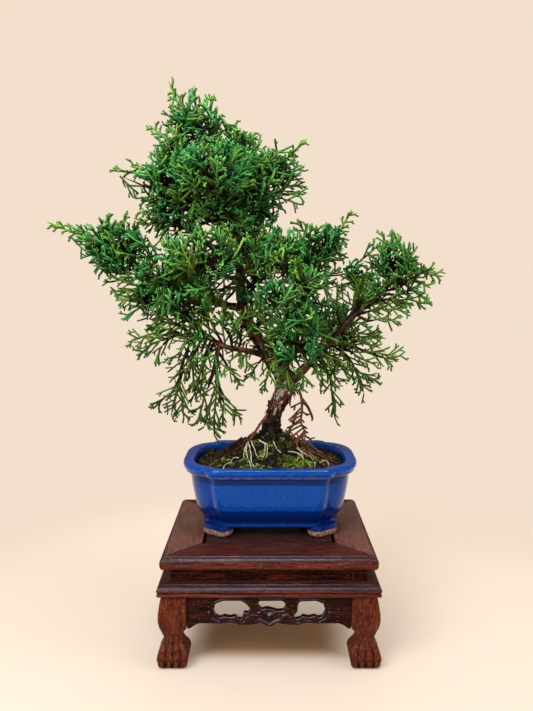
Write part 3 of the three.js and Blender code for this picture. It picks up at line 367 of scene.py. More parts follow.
def scale_leaves():
    """Cords of juniper scale leaves, grown: fresh yellow green at the tips, deeper green below and
    bluish on some sprays, with a faint waxy sheen. Light and shade are painted into the freshness
    that it reads: the upper side of a cord lighter and its underside darker, and cords deep inside a
    mass near black."""
    nodes, finish = blank_material("juniper_scale_leaves")
    fresh = nodes.attribute("fresh")
    green, blue_green = (nodes.ramp(fresh, stops) for stops in (LEAF_STOPS, BLUISH_STOPS))
    colour = nodes.mix(nodes.attribute("bluish"), green, blue_green)
    scales = {"Vector": nodes.place(), "Scale": per_metre(1.1)[0]}
    relief = nodes.bump(nodes.add("TexVoronoi", scales, "Distance"), 0.2, 0.2)
    return finish(colour, 0.45, 0.08, Normal=relief)


def mottled(name, size, stops, roughness, specular=0.3, bump_size=None, attribute=None):
    """A matt natural surface whose colour wanders between stops, by noise alone or by noise and an
    attribute. Sizes are in millimetres."""
    nodes, finish = blank_material(name)
    place = nodes.place()
    share = nodes.noise(place, per_metre(size)[0], 4.0, 0.65)
    if attribute:
        waver = nodes.sum_of("MULTIPLY_ADD", share, 0.4, -0.2)
        share = nodes.sum_of("ADD", nodes.attribute(attribute), waver)
    relief = {}
    if bump_size:
        fine = nodes.noise(place, per_metre(bump_size)[0], 3.0)
        relief["Normal"] = nodes.bump(fine, 0.5, 0.3 * bump_size)
    return finish(nodes.ramp(share, stops), roughness, specular, **relief)


# Matt natural surfaces: name, size of the mottling in millimetres, stops, roughness, and then the
# gloss, the size of the bumps and the attribute where these differ from the rest.
MOTTLED = {
    # Thin juniper twigs, grown: smooth orange-brown bark, olive where it is young.
    "twig": ("juniper_twig_bark", 4.0, [(0.3, "#3a1f10"), (0.5, "#6b4122"), (0.7, "#8f6a38")], 0.75),
    # Dead juniper sprays, dried on the tree: brittle and dark brown.
    "dry": ("juniper_dead_twigs", 5.0, [(0.3, "#1c0f0a"), (0.5, "#47281a"), (0.7, "#7d4a2b")], 0.85),
    # Fine roots, washed bare: cream and fibrous.
    "pale_root": ("fine_root_pale", 3.0, [(0.3, "#80715f"), (0.5, "#bdb09c"), (0.7, "#e6dccb")], 0.7),
    # Woody surface roots: dry red-brown skin.
    "red_root": (
        "woody_root_red", 3.0, [(0.35, "#3a1a10"), (0.55, "#6e3826"), (0.7, "#8e5640")], 0.8, 0.3, 0.8,
    ),
    # Potting soil with grit, damp: nearly black with a few tan grains.
    "soil": (
        "potting_soil_damp", 1.8,
        [(0.35, "#070402"), (0.55, "#140d07"), (0.7, "#2c1e11"), (0.85, "#6a553a")],
        0.95, 0.2, 0.9, "shade",
    ),
    # Dead twigs on the soil, weathered: dark brown to tan.
    "litter": (
        "dead_twigs_weathered", 2.5,
        [(0.3, "#150b06"), (0.5, "#2e1d12"), (0.62, "#553b27"), (0.72, "#86694d")], 0.9, 0.2,
    ),
    # Cushion moss, alive: bright yellow green at the tips and dark between.
    "moss": (
        "cushion_moss", 3.0,
        [(0.15, "#060801"), (0.45, "#232c06"), (0.7, "#566a10"), (1.0, "#a3c22c")],
        0.8, 0.2, None, "shade",
    ),
    # Moulded polypropylene mesh: dull black.
    "plastic": ("polypropylene_moulded", 2.0, [(0.4, "#1c1e1c"), (0.6, "#2a2c2a")], 0.6, 0.5),
}
MATERIALS = {}


def new_material(name):
    if name.startswith("wood_"):
        kind, grain = name.split("_")[1:]
        return rosewood(f"rosewood_oiled_{kind}_{grain}", grain, *WOOD_SHADES[kind])
    if name == "glaze":
        return cobalt_glaze(bpy.context.scene.bonsai_pot.glaze_colour)
    if name == "bark":
        return flaky_bark()
    return scale_leaves() if name == "leaves" else mottled(*MOTTLED[name])


def material_of(name):
    """The object's materials, each made once, when it is first asked for."""
    if name not in MATERIALS:
        MATERIALS[name] = new_material(name)
    return MATERIALS[name]


def dressed(node, material):
    """Gives a CAD node that stays as it is a material."""
    slots = frame["nodes"][node].data.materials
    slots.clear()
    slots.append(material_of(material))


# Modelling helpers


def deselect_all():
    if bpy.context.mode != "OBJECT":
        bpy.ops.object.mode_set(mode="OBJECT")
    bpy.ops.object.select_all(action="DESELECT")


def make_active(piece):
    deselect_all()
    piece.select_set(True)
    bpy.context.view_layer.objects.active = piece


def apply_modifier(piece, kind, **settings):
    """Adds a modifier with its settings and applies it."""
    make_active(piece)
    modifier = piece.modifiers.new(kind.lower(), kind)
    for key, value in settings.items():
        setattr(modifier, key, value)
    bpy.ops.object.modifier_apply(modifier=modifier.name)


@contextmanager
def editing(piece, select="SELECT"):
    """Edit mode on a piece, with all of it selected at first, or nothing."""
    make_active(piece)
    bpy.ops.object.mode_set(mode="EDIT")
    bpy.ops.mesh.select_all(action=select)
    yield
    bpy.ops.object.mode_set(mode="OBJECT")


def tidy_normals(piece):
    """Merges doubled points and turns every face outwards."""
    with editing(piece):
        bpy.ops.mesh.remove_doubles(threshold=0.001)
        bpy.ops.mesh.normals_make_consistent(inside=False)


def smooth(piece, angle=40):
    make_active(piece)
    bpy.ops.object.shade_smooth_by_angle(angle=math.radians(angle), keep_sharp_edges=False)


def outline_piece(name, points, fill="NGON"):
    """A flat face or a ring through points, in millimetres: a circle with its points moved."""
    deselect_all()
    bpy.ops.mesh.primitive_circle_add(vertices=len(points), radius=1, fill_type=fill)
    piece = bpy.context.object
    piece.name = piece.data.name = name
    for vertex, place in zip(piece.data.vertices, points):
        vertex.co = place
    return piece


def extrude_all(piece, move):
    """Extrudes all of a flat piece by a move."""
    with editing(piece):
        bpy.ops.mesh.extrude_region_move(TRANSFORM_OT_translate={"value": move})


def cut_off(piece, point, normal):
    """Saws a piece at a plane, drops what lies ahead of the plane and closes the cut."""
    saw = {"use_fill": True, "clear_outer": True, "threshold": 0.0001}
    with editing(piece):
        bpy.ops.mesh.bisect(plane_co=point, plane_no=normal, **saw)


def cad_copy(node, name):
    """A copy of a CAD node in millimetres, with its loose triangles merged."""
    made = frame["nodes"][node].copy()
    made.data = made.data.copy()
    made.parent = None
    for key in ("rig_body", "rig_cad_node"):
        if key in made:
            del made[key]
    made.name = made.data.name = name
    bpy.context.scene.collection.objects.link(made)
    made.data.transform(TO_MILLIMETRES)
    with editing(made):
        bpy.ops.mesh.remove_doubles(threshold=0.002)
    if made.data.has_custom_normals:
        bpy.ops.mesh.customdata_custom_splitnormals_clear()
    return made


def settle(piece, materials, replaces=()):
    """Brings a piece from millimetres into the frame, finishes it and lets it ride on the root."""
    piece.data.transform(TO_FRAME)
    piece.data.materials.clear()
    for name in materials:
        piece.data.materials.append(material_of(name))
    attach(piece, "root")
    if replaces:
        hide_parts(*replaces)
    return piece


def mesh_piece(name, points, triangles, indices=None, **attributes):
    """A smooth-shaded piece from arrays, in millimetres. Attributes are one number to a point."""
    mesh = bpy.data.meshes.new(name)
    points = np.asarray(points, np.float32)
    triangles = np.asarray(triangles, np.int32)
    mesh.vertices.add(len(points))
    mesh.vertices.foreach_set("co", points.ravel())
    mesh.loops.add(triangles.size)
    mesh.loops.foreach_set("vertex_index", triangles.ravel())
    mesh.polygons.add(len(triangles))
    mesh.polygons.foreach_set("loop_start", np.arange(0, triangles.size, 3, dtype=np.int32))
    if indices is not None:
        mesh.polygons.foreach_set("material_index", np.asarray(indices, np.int32))
    mesh.polygons.foreach_set("use_smooth", np.ones(len(triangles), bool))
    for key, values in attributes.items():
        values = np.asarray(values, np.float32)
        kind = "FLOAT_VECTOR" if values.ndim == 2 else "FLOAT"
        layer = mesh.attributes.new(key, kind, "POINT")
        layer.data.foreach_set("vector" if values.ndim == 2 else "value", values.ravel())
    mesh.update(calc_edges=True)
    piece = bpy.data.objects.new(name, mesh)
    bpy.context.scene.collection.objects.link(piece)
    return piece


def unit(v):
    return v / max(float(np.sqrt(v @ v)), 1e-9)


def smooth_route(route, count):
    """Points at count even steps between each two knots of a smooth line through a route, and
    the place of each along the route's knots."""
    knots = np.asarray(route, float)
    padded = np.vstack([2 * knots[0] - knots[1], knots, 2 * knots[-1] - knots[-2]])
    points, places = [], []
    for i in range(len(knots) - 1):
        a, b, c, d = padded[i : i + 4]
        for t in np.arange(count) / count:
            points.append(
                0.5 * (
                    2 * b + (c - a) * t + (
                        2 * a - 5 * b + 4 * c - d
                    ) * t**2 + (3 * b - a - 3 * c + d) * t**3
                )
            )
            places.append(i + t)
    points.append(knots[-1])
    places.append(len(knots) - 1.0)
    return np.array(points), np.array(places)


# The stand

# Profiles of the rails: [distance in from the outer face, height above the underside].
TOP_PROFILE = [
    (24.4, 0), (2.6, 0), (0.9, 0.8), (0.2, 2.2), (0, 4), (0, 5.2), (0.2, 6.3), (0.6, 7.2), (1.2, 7.8),
    (1.8, 8.05), (2.3, 8.05), (2.35, 8.5), (2.6, 9), (24.4, 9),
]
MOULDING_PROFILE = [
    (15, 0.12), (0.5, 0.12), (0.2, 0.6), (0.2, 2.0), (1.3, 2.3), (1.3, 2.8), (0.2, 3.2), (0, 4.3),
    (0.5, 5.5), (1.7, 6.4), (3.4, 6.8), (3.8, 7.3), (7.2, 8.0), (7.8, 8.4), (15, 8.4),
]
JOINT_GAP = 0.12
# The beads' dark shade, painted darker and greyer for the look of their highlight, starts at this height
# over a frame's underside.
TOP_BEAD, MOULDING_BEAD = 4.8, 3.0
# The panel: its edge's thickness, how far its raised field stands in and over the frame, and the
# height below which it is painted dark, for the shade in the slit round its field.
PANEL_EDGE = 2.1
PANEL_TONGUE = 3.8
PANEL_PROUD = 0.1
PANEL_SHADE_BELOW = 2.5
SIDES = {"front": 0.0, "right": math.pi / 2, "back": math.pi, "left": -math.pi / 2}


def rail_frame(name, profile, rounding, woods, bead_height):
    """Four mitred rails, each extruded along its profile, sawn at its mitres and eased. Woods are
    the shades of the flat top, on the front and back rails and on the side rails. Above the bead
    height a rail shows them and the bead's shade, and below it the edge's."""
    for side, turn in SIDES.items():
        low, high = box_mm(f"{name}_{side}")
        along, across = (0, 1) if side in ("front", "back") else (1, 0)
        half = (high[along] - low[along]) / 2 + JOINT_GAP
        reach = max(abs(low[across]), abs(high[across]))
        # The profile lies in the YZ plane, seen from +X, and is extruded towards +X.
        points = [(-half, inward - reach, height + low.z) for inward, height in profile]
        rail = outline_piece(f"{name}_{side}_eased", points)
        extrude_all(rail, (2 * half, 0, 0))
        for end in (-1, 1):
            corner = (end * (half - JOINT_GAP), -reach, low.z)
            cut_off(rail, corner, (end, 1, 0))
        tidy_normals(rail)
        apply_modifier(
            rail, "BEVEL", width=rounding, segments=2, limit_method="ANGLE", angle_limit=math.radians(28)
        )
        rail.data.transform(Matrix.Rotation(turn, 4, "Z"))
        smooth(rail)
        woods_here = [f"wood_{kind}_{grain_of(side)}" for kind in (woods[along], "edge", "bead")]
        settle(rail, woods_here, [f"{name}_{side}"])
        # Shades go by facing: flat tops take the top's shade, painted lighter and greyer on the side
        # rails, and faces that lean up to the light take the bead's, painted for the look of their
        # highlight.
        bead_from = STAND_MIDDLE.z + (low.z + bead_height) * MM
        for face in rail.data.polygons:
            face.material_index = wood_index(face.normal.z) if face.center.z > bead_from else 1


def grain_of(side):
    """The axis that the grain of a side's boards runs along."""
    return "x" if side in ("front", "back") else "y"


def wood_index(rise):
    """Which wood a face shows: 0 flat on top, 2 where it leans up to the light, 1 elsewhere. The wood of 2
    is painted darker and greyer for the look of the highlight there.
    """
    if rise > 0.94:
        return 0
    return 2 if rise > 0.3 else 1


class BONSAI_OT_stand_top(bpy.types.Operator):
    """Makes the top frame and its panel, the waist and the moulding under it"""

    bl_idname = "bonsai.stand_top"
    bl_label = "Stand top"

    def execute(self, context):
        settings = context.scene.bonsai_stand
        rounding = settings.edge_rounding
        rail_frame("stand_top_rail", TOP_PROFILE, rounding, ("front", "top"), TOP_BEAD)
        rail_frame("stand_moulding", MOULDING_PROFILE, rounding * 0.7, ("bead", "bead"), MOULDING_BEAD)
        for side in SIDES:
            dressed(f"stand_waist_{side}", f"wood_waist_{grain_of(side)}")

        low, high = box_mm("stand_panel")
        corners = ((low.x, low.y), (high.x, low.y), (high.x, high.y), (low.x, high.y))
        panel = outline_piece("stand_panel_eased", [(x, y, low.z) for x, y in corners])
        extrude_all(panel, (0, 0, PANEL_EDGE))
        rise = STAND_TOP + PANEL_PROUD - low.z - PANEL_EDGE
        with editing(panel, "DESELECT"):
            mesh = bmesh.from_edit_mesh(panel.data)
            for face in mesh.faces:
                if face.calc_center_median().z > low.z + 0.9 * PANEL_EDGE:
                    face.select_set(True)
            bmesh.update_edit_mesh(panel.data)
            bpy.ops.mesh.inset(thickness=PANEL_TONGUE, depth=0)
            bpy.ops.mesh.extrude_region_move(TRANSFORM_OT_translate={"value": (0, 0, rise)})
        tidy_normals(panel)
        apply_modifier(panel, "BEVEL", width=0.3, segments=2, limit_method="ANGLE")
        smooth(panel)
        # Painted shade: the panel's edge, down in the slit round its field, is painted dark.
        painted_slit_shade = [float(v.co.z < low.z + PANEL_SHADE_BELOW) for v in panel.data.vertices]
        set_attribute(panel, "carved", painted_slit_shade)
        settle(panel, ["wood_panel_x"], ["stand_panel"])
        return {"FINISHED"}


class BONSAI_OT_stand_legs(bpy.types.Operator):
    """Makes the four carved legs"""

    bl_idname = "bonsai.stand_legs"
    bl_label = "Stand legs"

    def execute(self, context):
        grain = context.scene.bonsai_stand.carving_grain
        for corner in ("front_left", "front_right", "back_left", "back_right"):
            leg = cad_copy(f"stand_leg_{corner}", f"leg_{corner}_carved")
            apply_modifier(leg, "REMESH", mode="VOXEL", voxel_size=grain, adaptivity=0.0)
            apply_modifier(leg, "SMOOTH", factor=0.5, iterations=12)
            carve_toes(leg)
            flatten_foot(leg)
            smooth(leg, 60)
            settle(leg, ["wood_leg_z"], [f"stand_leg_{corner}"])
        return {"FINISHED"}


# The legs are measured in levels of 1 mm from the floor.
LEG_LEVELS = 46
TOES = 4
TOE_HEIGHT = 5.6
TOE_DEPTH = 1.7
TOE_GAP = 0.75
CLAW_GROOVE = {"depth": 0.9, "half": 0.7, "top": 24.0}


def carve_toes(leg):
    """Carves rounded toes with an arch over each, and lines that run from the ankle down
    between them. The cuts are painted darker, the deeper the darker, for the shade in them."""
    mesh = leg.data
    points = np.array([v.co for v in mesh.vertices])
    normals = np.array([v.normal for v in mesh.vertices])
    height = points[:, 2].copy()
    levels = np.clip(height.astype(int), 0, LEG_LEVELS - 1)
    carved = np.zeros(len(points))
    for axis in (0, 1):
        low, high = np.zeros(LEG_LEVELS), np.zeros(LEG_LEVELS)
        for level in range(LEG_LEVELS):
            there = points[levels == level, axis]
            low[level], high[level] = there.min(), there.max()
        facing = np.abs(normals[:, 1 - axis]) > 0.6
        width = (high - low)[levels]
        across = (points[:, axis] - low[levels]) / width * TOES
        off_middle = np.abs(across - np.floor(across) - 0.5) * 2
        inner = (np.round(across) > 0.5) & (np.round(across) < TOES - 0.5)
        between = np.abs(across - np.round(across)) * width / TOES
        arch_height = TOE_HEIGHT - 1.8 * off_middle**2
        gap = np.clip(1.3 - between / TOE_GAP, 0, 1) * inner * (height < arch_height)
        toe = np.maximum(gap, 0.5 * off_middle**4 * (height < arch_height))
        arch = np.exp(-(((height - arch_height - 0.4) / 0.6) ** 2))
        fade = np.clip((CLAW_GROOVE["top"] - height) / 12, 0, 1) * (height > TOE_HEIGHT)
        line = np.exp(-((between / CLAW_GROOVE["half"]) ** 2)) * fade * inner
        cut_depth = np.maximum(TOE_DEPTH * toe, CLAW_GROOVE["depth"] * np.maximum(line, arch))
        cut_depth = cut_depth * facing
        points -= normals * cut_depth[:, None]
        # Painted shade: the deeper a cut, the darker it is painted.
        carved = np.maximum(carved, np.clip(cut_depth / CLAW_GROOVE["depth"] - 0.25, 0, 0.9))
    mesh.vertices.foreach_set("co", points.ravel())
    mesh.update()
    set_attribute(leg, "carved", carved)


def flatten_foot(leg):
    """Brings the smoothed sole back down flat on the floor."""
    heights = np.array([v.co.z for v in leg.data.vertices])
    lowest = heights.min()
    for vertex in leg.data.vertices:
        if vertex.co.z < lowest + 0.25:
            vertex.co.z = 0.0


# The relief on an apron, seen from the front: [along, height] of its raised lines.
CLOUD_BANDS = [
    [(-37.5, 36), (-36.4, 32.6), (-33.6, 30.6), (-30.6, 29.6), (-28, 31.2), (-24.6, 30), (-21, 31)],
    [(-21, 31), (-18.6, 28.9), (-15.4, 29.4), (-13.6, 32), (-11.2, 34), (-8.6, 33.4), (-8.2, 31.2)],
    [(37.6, 36), (36.4, 32.4), (33.4, 30.4), (30.6, 29.6), (28.2, 31.2), (24.8, 30), (21.2, 31)],
    [(21.2, 31), (18.6, 28.9), (15, 29.2), (13, 31.6), (11.6, 33.8), (8.6, 33.4), (8.2, 31.2)],
    [(-7.4, 34.6), (-4.4, 36.2), (-1.8, 35), (-3.4, 33.2)],
    [(7, 33.8), (4.4, 35.2), (1.8, 34.6), (3.4, 32.8)],
    [(-8.2, 31.2), (-4.6, 30.2), (-2.2, 28.6), (0, 27.9), (2.2, 28.6), (4.6, 30.2), (8.2, 31.2)],
]
BOSS = {"along": 0.4, "height": 33.4, "radius": 2.3}


def joined(name, pieces):
    make_active(pieces[0])
    for piece in pieces:
        piece.select_set(True)
    bpy.ops.object.join()
    pieces[0].name = pieces[0].data.name = name
    return pieces[0]


def bead(points, radius, closed=False):
    """A round bead along a line of points."""
    curve = bpy.data.curves.new("bead", "CURVE")
    curve.dimensions = "3D"
    curve.bevel_depth = radius
    curve.bevel_resolution = 1
    curve.use_fill_caps = True
    spline = curve.splines.new("POLY")
    spline.points.add(len(points) - 1)
    for knot, place in zip(spline.points, points):
        knot.co = (*place, 1.0)
    spline.use_cyclic_u = closed
    made = bpy.data.objects.new("bead", curve)
    bpy.context.scene.collection.objects.link(made)
    make_active(made)
    bpy.ops.object.convert(target="MESH")
    return bpy.context.object


def rim_loops(plate, front):
    """The closed outlines of the openings in a plate's front face, at Y = front."""
    mesh = bmesh.new()
    mesh.from_mesh(plate.data)
    rims = {}
    for edge in mesh.edges:
        if len(edge.link_faces) != 2 or any(abs(v.co.y - front) > 0.01 for v in edge.verts):
            continue
        facing = [face.normal.y < -0.9 for face in edge.link_faces]
        if facing[0] != facing[1]:
            for a, b in (edge.verts, reversed(edge.verts)):
                rims.setdefault(tuple(a.co), []).append(tuple(b.co))
    mesh.free()
    loops = []
    while rims:
        start = next(iter(rims))
        loop, here = [start], start
        while True:
            ahead = [p for p in rims.pop(here) if p in rims]
            if not ahead:
                break
            here = ahead[0]
            loop.append(here)
        loops.append(loop)
    # The widest loop is the plate's own outline.
    loops.sort(key=lambda loop: max(p[0] for p in loop) - min(p[0] for p in loop))
    return loops[:-1]


def grown_loop(loop, distance):
    """A closed outline in the XZ plane, moved outwards by a distance."""
    points = np.array(loop)
    ahead, behind = np.roll(points, -1, axis=0), np.roll(points, 1, axis=0)
    tangents = ahead - behind
    area = np.sum(points[:, 0] * ahead[:, 2] - ahead[:, 0] * points[:, 2])
    normals = np.column_stack([tangents[:, 2], np.zeros(len(points)), -tangents[:, 0]])
    normals *= math.copysign(1.0, area) / (np.linalg.norm(normals, axis=1)[:, None] + 1e-9)
    return points + normals * distance


class BONSAI_OT_stand_aprons(bpy.types.Operator):
    """Makes the four pierced aprons with their carved clouds"""

    bl_idname = "bonsai.stand_aprons"
    bl_label = "Stand aprons"

    def execute(self, context):
        settings = context.scene.bonsai_stand
        for side, turn in SIDES.items():
            apron = cad_copy(f"stand_apron_{side}", f"apron_{side}_carved")
            apron.data.transform(Matrix.Rotation(-turn, 4, "Z"))
            front = min(v.co.y for v in apron.data.vertices)
            relief = []
            for loop in rim_loops(apron, front):
                relief.append(bead(grown_loop(loop, settings.bead_radius), settings.bead_radius, True))
            for line in CLOUD_BANDS:
                knots = [(x, front + 0.3, z) for x, z in line]
                points, _ = smooth_route(knots, 4)
                relief.append(bead(points, settings.bead_radius * 1.7))
            bpy.ops.mesh.primitive_uv_sphere_add(
                segments=16, ring_count=10, radius=BOSS["radius"],
                location=(BOSS["along"], front + 0.6, BOSS["height"]),
            )
            relief.append(bpy.context.object)
            apron = joined(apron.name, [apron, *relief])
            apply_modifier(apron, "REMESH", mode="VOXEL", voxel_size=settings.carving_grain * 0.9)
            apply_modifier(apron, "SMOOTH", factor=0.5, iterations=4)
            apply_modifier(apron, "DECIMATE", ratio=0.42)
            apron.data.transform(Matrix.Rotation(turn, 4, "Z"))
            smooth(apron, 50)
            woods = [f"wood_{kind}_{grain_of(side)}" for kind in ("apron", "apron", "ridge")]
            settle(apron, woods, [f"stand_apron_{side}"])
            # Faces that lean up to the light take the ridge's shade, painted darker and greyer for the
            # look of their highlight.
            for face in apron.data.polygons:
                face.material_index = wood_index(face.normal.z)
        return {"FINISHED"}


# The pot

POT_MIDDLE = (0.8, 6.0)
POT_BASE = STAND_TOP + 0.3
POT_HALF = (59.0, 44.0)
POT_HEIGHT = 48.3
CUSP = (42.4, 37.8)
END_LOBE = [(59.0, 8.0), (59.0, 24.0), (53.5, 34.5), CUSP]
LONG_LOBE = [CUSP, (41.0, 43.0), (36.4, 44.0)]
LOBE_FLAT_HALF = (2.0, 36.4)

# [inset, height, painted navy, thin glaze] up the outside, over the rim and down the inside. The third
# column paints the glaze navy: the low band for the reflection of the dark stand top, the band under the
# rim for the shade and reflection of its underside, and the inside, where the glaze lies thick.
POT_PROFILE = [
    (14.6, 6.2, 1.0, 0), (13.2, 6.35, 0.7, 0), (12.7, 7.0, 0.6, 0), (12.6, 7.8, 0.55, 0),
    (13.0, 9.2, 0.6, 0), (12.4, 10.6, 1.0, 0), (10.9, 12.4, 0.95, 0), (9.7, 14.4, 0.95, 0),
    (8.9, 17.0, 0.9, 0), (8.3, 18.6, 0.75, 0), (7.9, 20.4, 0.1, 0), (6.8, 26.0, 0.0, 0),
    (5.8, 32.0, 0.0, 0), (5.3, 36.6, 0.1, 0), (5.2, 37.4, 0.9, 0), (4.9, 39.5, 1.0, 0),
    (4.6, 41.0, 1.0, 0), (3.2, 41.6, 0.9, 0), (1.9, 42.1, 0.4, 0.7), (1.3, 42.7, 0.2, 1.0),
    (1.2, 43.3, 0.2, 0.2), (1.1, 44.1, 0.35, 0.5), (0.6, 44.7, 0.2, 0.52), (0.15, 45.3, 0.2, 0.52),
    (0.1, 46.2, 0.35, 0.4), (0.15, 46.7, 0.2, 0.62), (0.25, 47.2, 0.1, 0.2), (0.6, 47.8, 0.0, 0.0),
    (1.0, 48.15, 0.0, 0.6), (1.7, 48.3, 0.3, 0.0), (3.6, 48.2, 0.3, 0), (5.6, 48.2, 0.3, 0),
    (6.6, 48.0, 0.0, 0.8), (7.3, 47.3, 0.1, 0.5), (8.6, 41.0, 0.9, 0), (12.0, 22.0, 1.0, 0),
    (15.0, 14.0, 1.0, 0), (18.0, 10.6, 1.0, 0),
]
# How much painted shade darkens the end lobes, which turn away to the sides, and the height that the rim
# begins at.
END_LOBE_SHADE = 0.42
RIM_UNDERSIDE = 42.0
# A foot bends round a corner from where the outline is 27 deep to where the long wall is 30 wide.
FOOT = {"outer": 9.4, "inner": 21.0, "sunk": 1.2, "bare": 4.0, "rounding": 7}
FOOT_START, FOOT_STOP, LONG_WALL = 27, 30, 43


def bezier(knots, count):
    """Points on a Bezier curve of any degree."""
    points = np.repeat(np.asarray(knots, float)[None], count, axis=0)
    t = np.linspace(0, 1, count)[:, None, None]
    while points.shape[1] > 1:
        points = points[:, :-1] * (1 - t) + points[:, 1:] * t
    return points[:, 0]


def quarter_outline(step):
    """The pot's outline from its right end to the middle of its back."""
    end_lobe = bezier(END_LOBE, int(48 / step))
    long_lobe = bezier(LONG_LOBE, max(4, int(9 / step)))
    flat = np.linspace(LOBE_FLAT_HALF[1], 0.4, int(33 / step / 2))[1:]
    return np.vstack(
        [[(POT_HALF[0], LOBE_FLAT_HALF[0])], end_lobe, long_lobe[1:], [(x, POT_HALF[1]) for x in flat]]
    )


def full_outline(quarter):
    """Four quarters, counter-clockwise."""
    return np.vstack([quarter, quarter[::-1] * (-1, 1), quarter * (-1, -1), quarter[::-1] * (1, -1)])


def inset_scale(inset):
    return 1 - inset / POT_HALF[0], 1 - inset / POT_HALF[1]


def set_attribute(piece, name, values):
    layer = piece.data.attributes.get(name) or piece.data.attributes.new(name, "FLOAT", "POINT")
    layer.data.foreach_set("value", np.asarray(values, np.float32))


def pulled_up(piece, levels):
    """Extrudes the open rim of a piece up through levels, each with scales on X and Y and a height."""
    with editing(piece):
        for (old, low), (new, high) in zip(levels, levels[1:]):
            scale = (new[0] / old[0], new[1] / old[1], 1)
            bpy.ops.mesh.extrude_edges_move(TRANSFORM_OT_translate={"value": (0, 0, high - low)})
            bpy.ops.transform.resize(value=scale, center_override=(0, 0, 0))


class BONSAI_OT_pot(bpy.types.Operator):
    """Makes the glazed pot with its cloud feet, and finishes the mesh over its drain holes"""

    bl_idname = "bonsai.pot"
    bl_label = "Pot"

    def execute(self, context):
        step = context.scene.bonsai_pot.outline_step
        outline = full_outline(quarter_outline(step))
        levels = [(inset_scale(inset), height) for inset, height, _, _ in POT_PROFILE]
        (sx, sy), bottom = levels[0]
        pot = outline_piece("pot_glazed", [(x * sx, y * sy, bottom) for x, y in outline], "NOTHING")
        pulled_up(pot, levels)
        count = len(outline)
        for index, name in ((2, "pooled_and_painted_dark"), (3, "thin")):
            values = np.repeat([ring[index] for ring in POT_PROFILE], count)
            if name == "pooled_and_painted_dark":
                # Painted shade darkens the end lobes, but not the rim.
                at_end = np.abs(np.tile(outline[:, 0], len(POT_PROFILE))) > CUSP[0]
                on_wall = np.repeat([ring[1] < RIM_UNDERSIDE for ring in POT_PROFILE], count)
                values = values + END_LOBE_SHADE * (at_end & on_wall)
            set_attribute(pot, name, values)
        set_attribute(pot, "bare", np.zeros(len(pot.data.vertices)))
        close_ends(pot)
        flips = ((1, 1), (-1, 1), (-1, -1), (1, -1))
        feet = [foot(quarter_outline(step * 0.8), flip) for flip in flips]
        pot = joined("pot_glazed", [pot, *feet])
        pot.data.transform(Matrix.Translation((*POT_MIDDLE, POT_BASE)))
        smooth(pot, 50)
        settle(pot, ["glaze"], ["pot"])
        for side in ("left", "right"):
            dressed(f"drain_screen_{side}", "plastic")
        return {"FINISHED"}


def close_ends(piece):
    """Fills the open ends of a shell and turns its faces outwards."""
    with editing(piece, "DESELECT"):
        bpy.ops.mesh.select_non_manifold(extend=False)
        bpy.ops.mesh.fill_holes(sides=0)
    tidy_normals(piece)


def foot(quarter, flip):
    """A cloud foot that bends round one corner of the pot, glazed down to its bare sole."""
    start = int(np.argmin(np.abs(quarter[:, 1] - FOOT_START)))
    width_missed = np.where(quarter[:, 1] < LONG_WALL, np.inf, np.abs(quarter[:, 0] - FOOT_STOP))
    stop = int(np.argmin(width_missed))
    band = quarter[start : stop + 1]
    outer = band * inset_scale(FOOT["outer"])
    inner = band[::-2] * inset_scale(FOOT["inner"])
    outline = np.vstack([outer, inner])
    for _ in range(FOOT["rounding"]):
        outline = (np.roll(outline, 1, axis=0) + 2 * outline + np.roll(outline, -1, axis=0)) / 4
    middle = outline.mean(0)
    # [share of the outline's size, height, bareness] from the sole up into the pot
    levels = [
        (0.76, 0.0, 1.0), (0.87, 0.35, 1.0), (0.95, 1.2, 1.0), (0.99, 2.4, 1.0),
        (0.985, FOOT["bare"], 0.7), (0.965, FOOT["bare"] + 0.6, 0.0), (0.93, 6.2 + FOOT["sunk"], 0.0),
    ]
    share, bottom, _ = levels[0]
    ring = [(*((place - middle) * share), bottom) for place in outline]
    made = outline_piece("foot", ring, "NOTHING")
    pulled_up(made, [((share, share), height) for share, height, _ in levels])
    set_attribute(made, "bare", np.repeat([level[2] for level in levels], len(outline)))
    # The feet's glaze is painted dark navy, as the wall's low band is.
    set_attribute(made, "pooled_and_painted_dark", np.full(len(levels) * len(outline), 0.85))
    set_attribute(made, "thin", np.zeros(len(made.data.vertices)))
    close_ends(made)
    made.data.transform(Matrix.Translation((*middle, 0)))
    made.data.transform(Matrix.Diagonal((*flip, 1, 1)))
    tidy_normals(made)
    return made


# The soil and the moss

SOIL_EDGE = 44.3
SOIL_CROWN = 59.5
SOIL_HUMP = 5.0
SOIL_INSET = 9.2
SOIL_REACH = (51.0, 35.0)
# Inset and height of the soil's wall, from the pot's floor up
SOIL_WALL = [(18.6, 10.95), (15.9, 14.0), (12.7, 22.0), (SOIL_INSET + 0.2, 40.0)]
TRUNK_FOOT = (2.0, 6.0)
# What starts the random draws of each thing that is scattered or grown. The noise that bends fine
# roots and branchlets has no seed.
SEEDS = {"grains": 11, "moss": 23, "litter": 31, "flakes": 5, "dry": 77, "foliage": 400}


def soil_height(x, y):
    """Height of the soil's mound, from the rim's inner edge up to the trunk, with the steeper
    hump that the moss makes round the trunk's foot."""
    out = math.hypot((x - POT_MIDDLE[0]) / SOIL_REACH[0], (y - POT_MIDDLE[1]) / SOIL_REACH[1])
    mound = 0.5 + 0.5 * math.cos(math.pi * min(1.0, out))
    near = math.hypot((x - TRUNK_FOOT[0]) / 24, (y - TRUNK_FOOT[1]) / 17)
    hump = SOIL_HUMP * math.exp(-(near**2))
    return POT_BASE + SOIL_EDGE + (SOIL_CROWN - SOIL_EDGE) * mound + hump


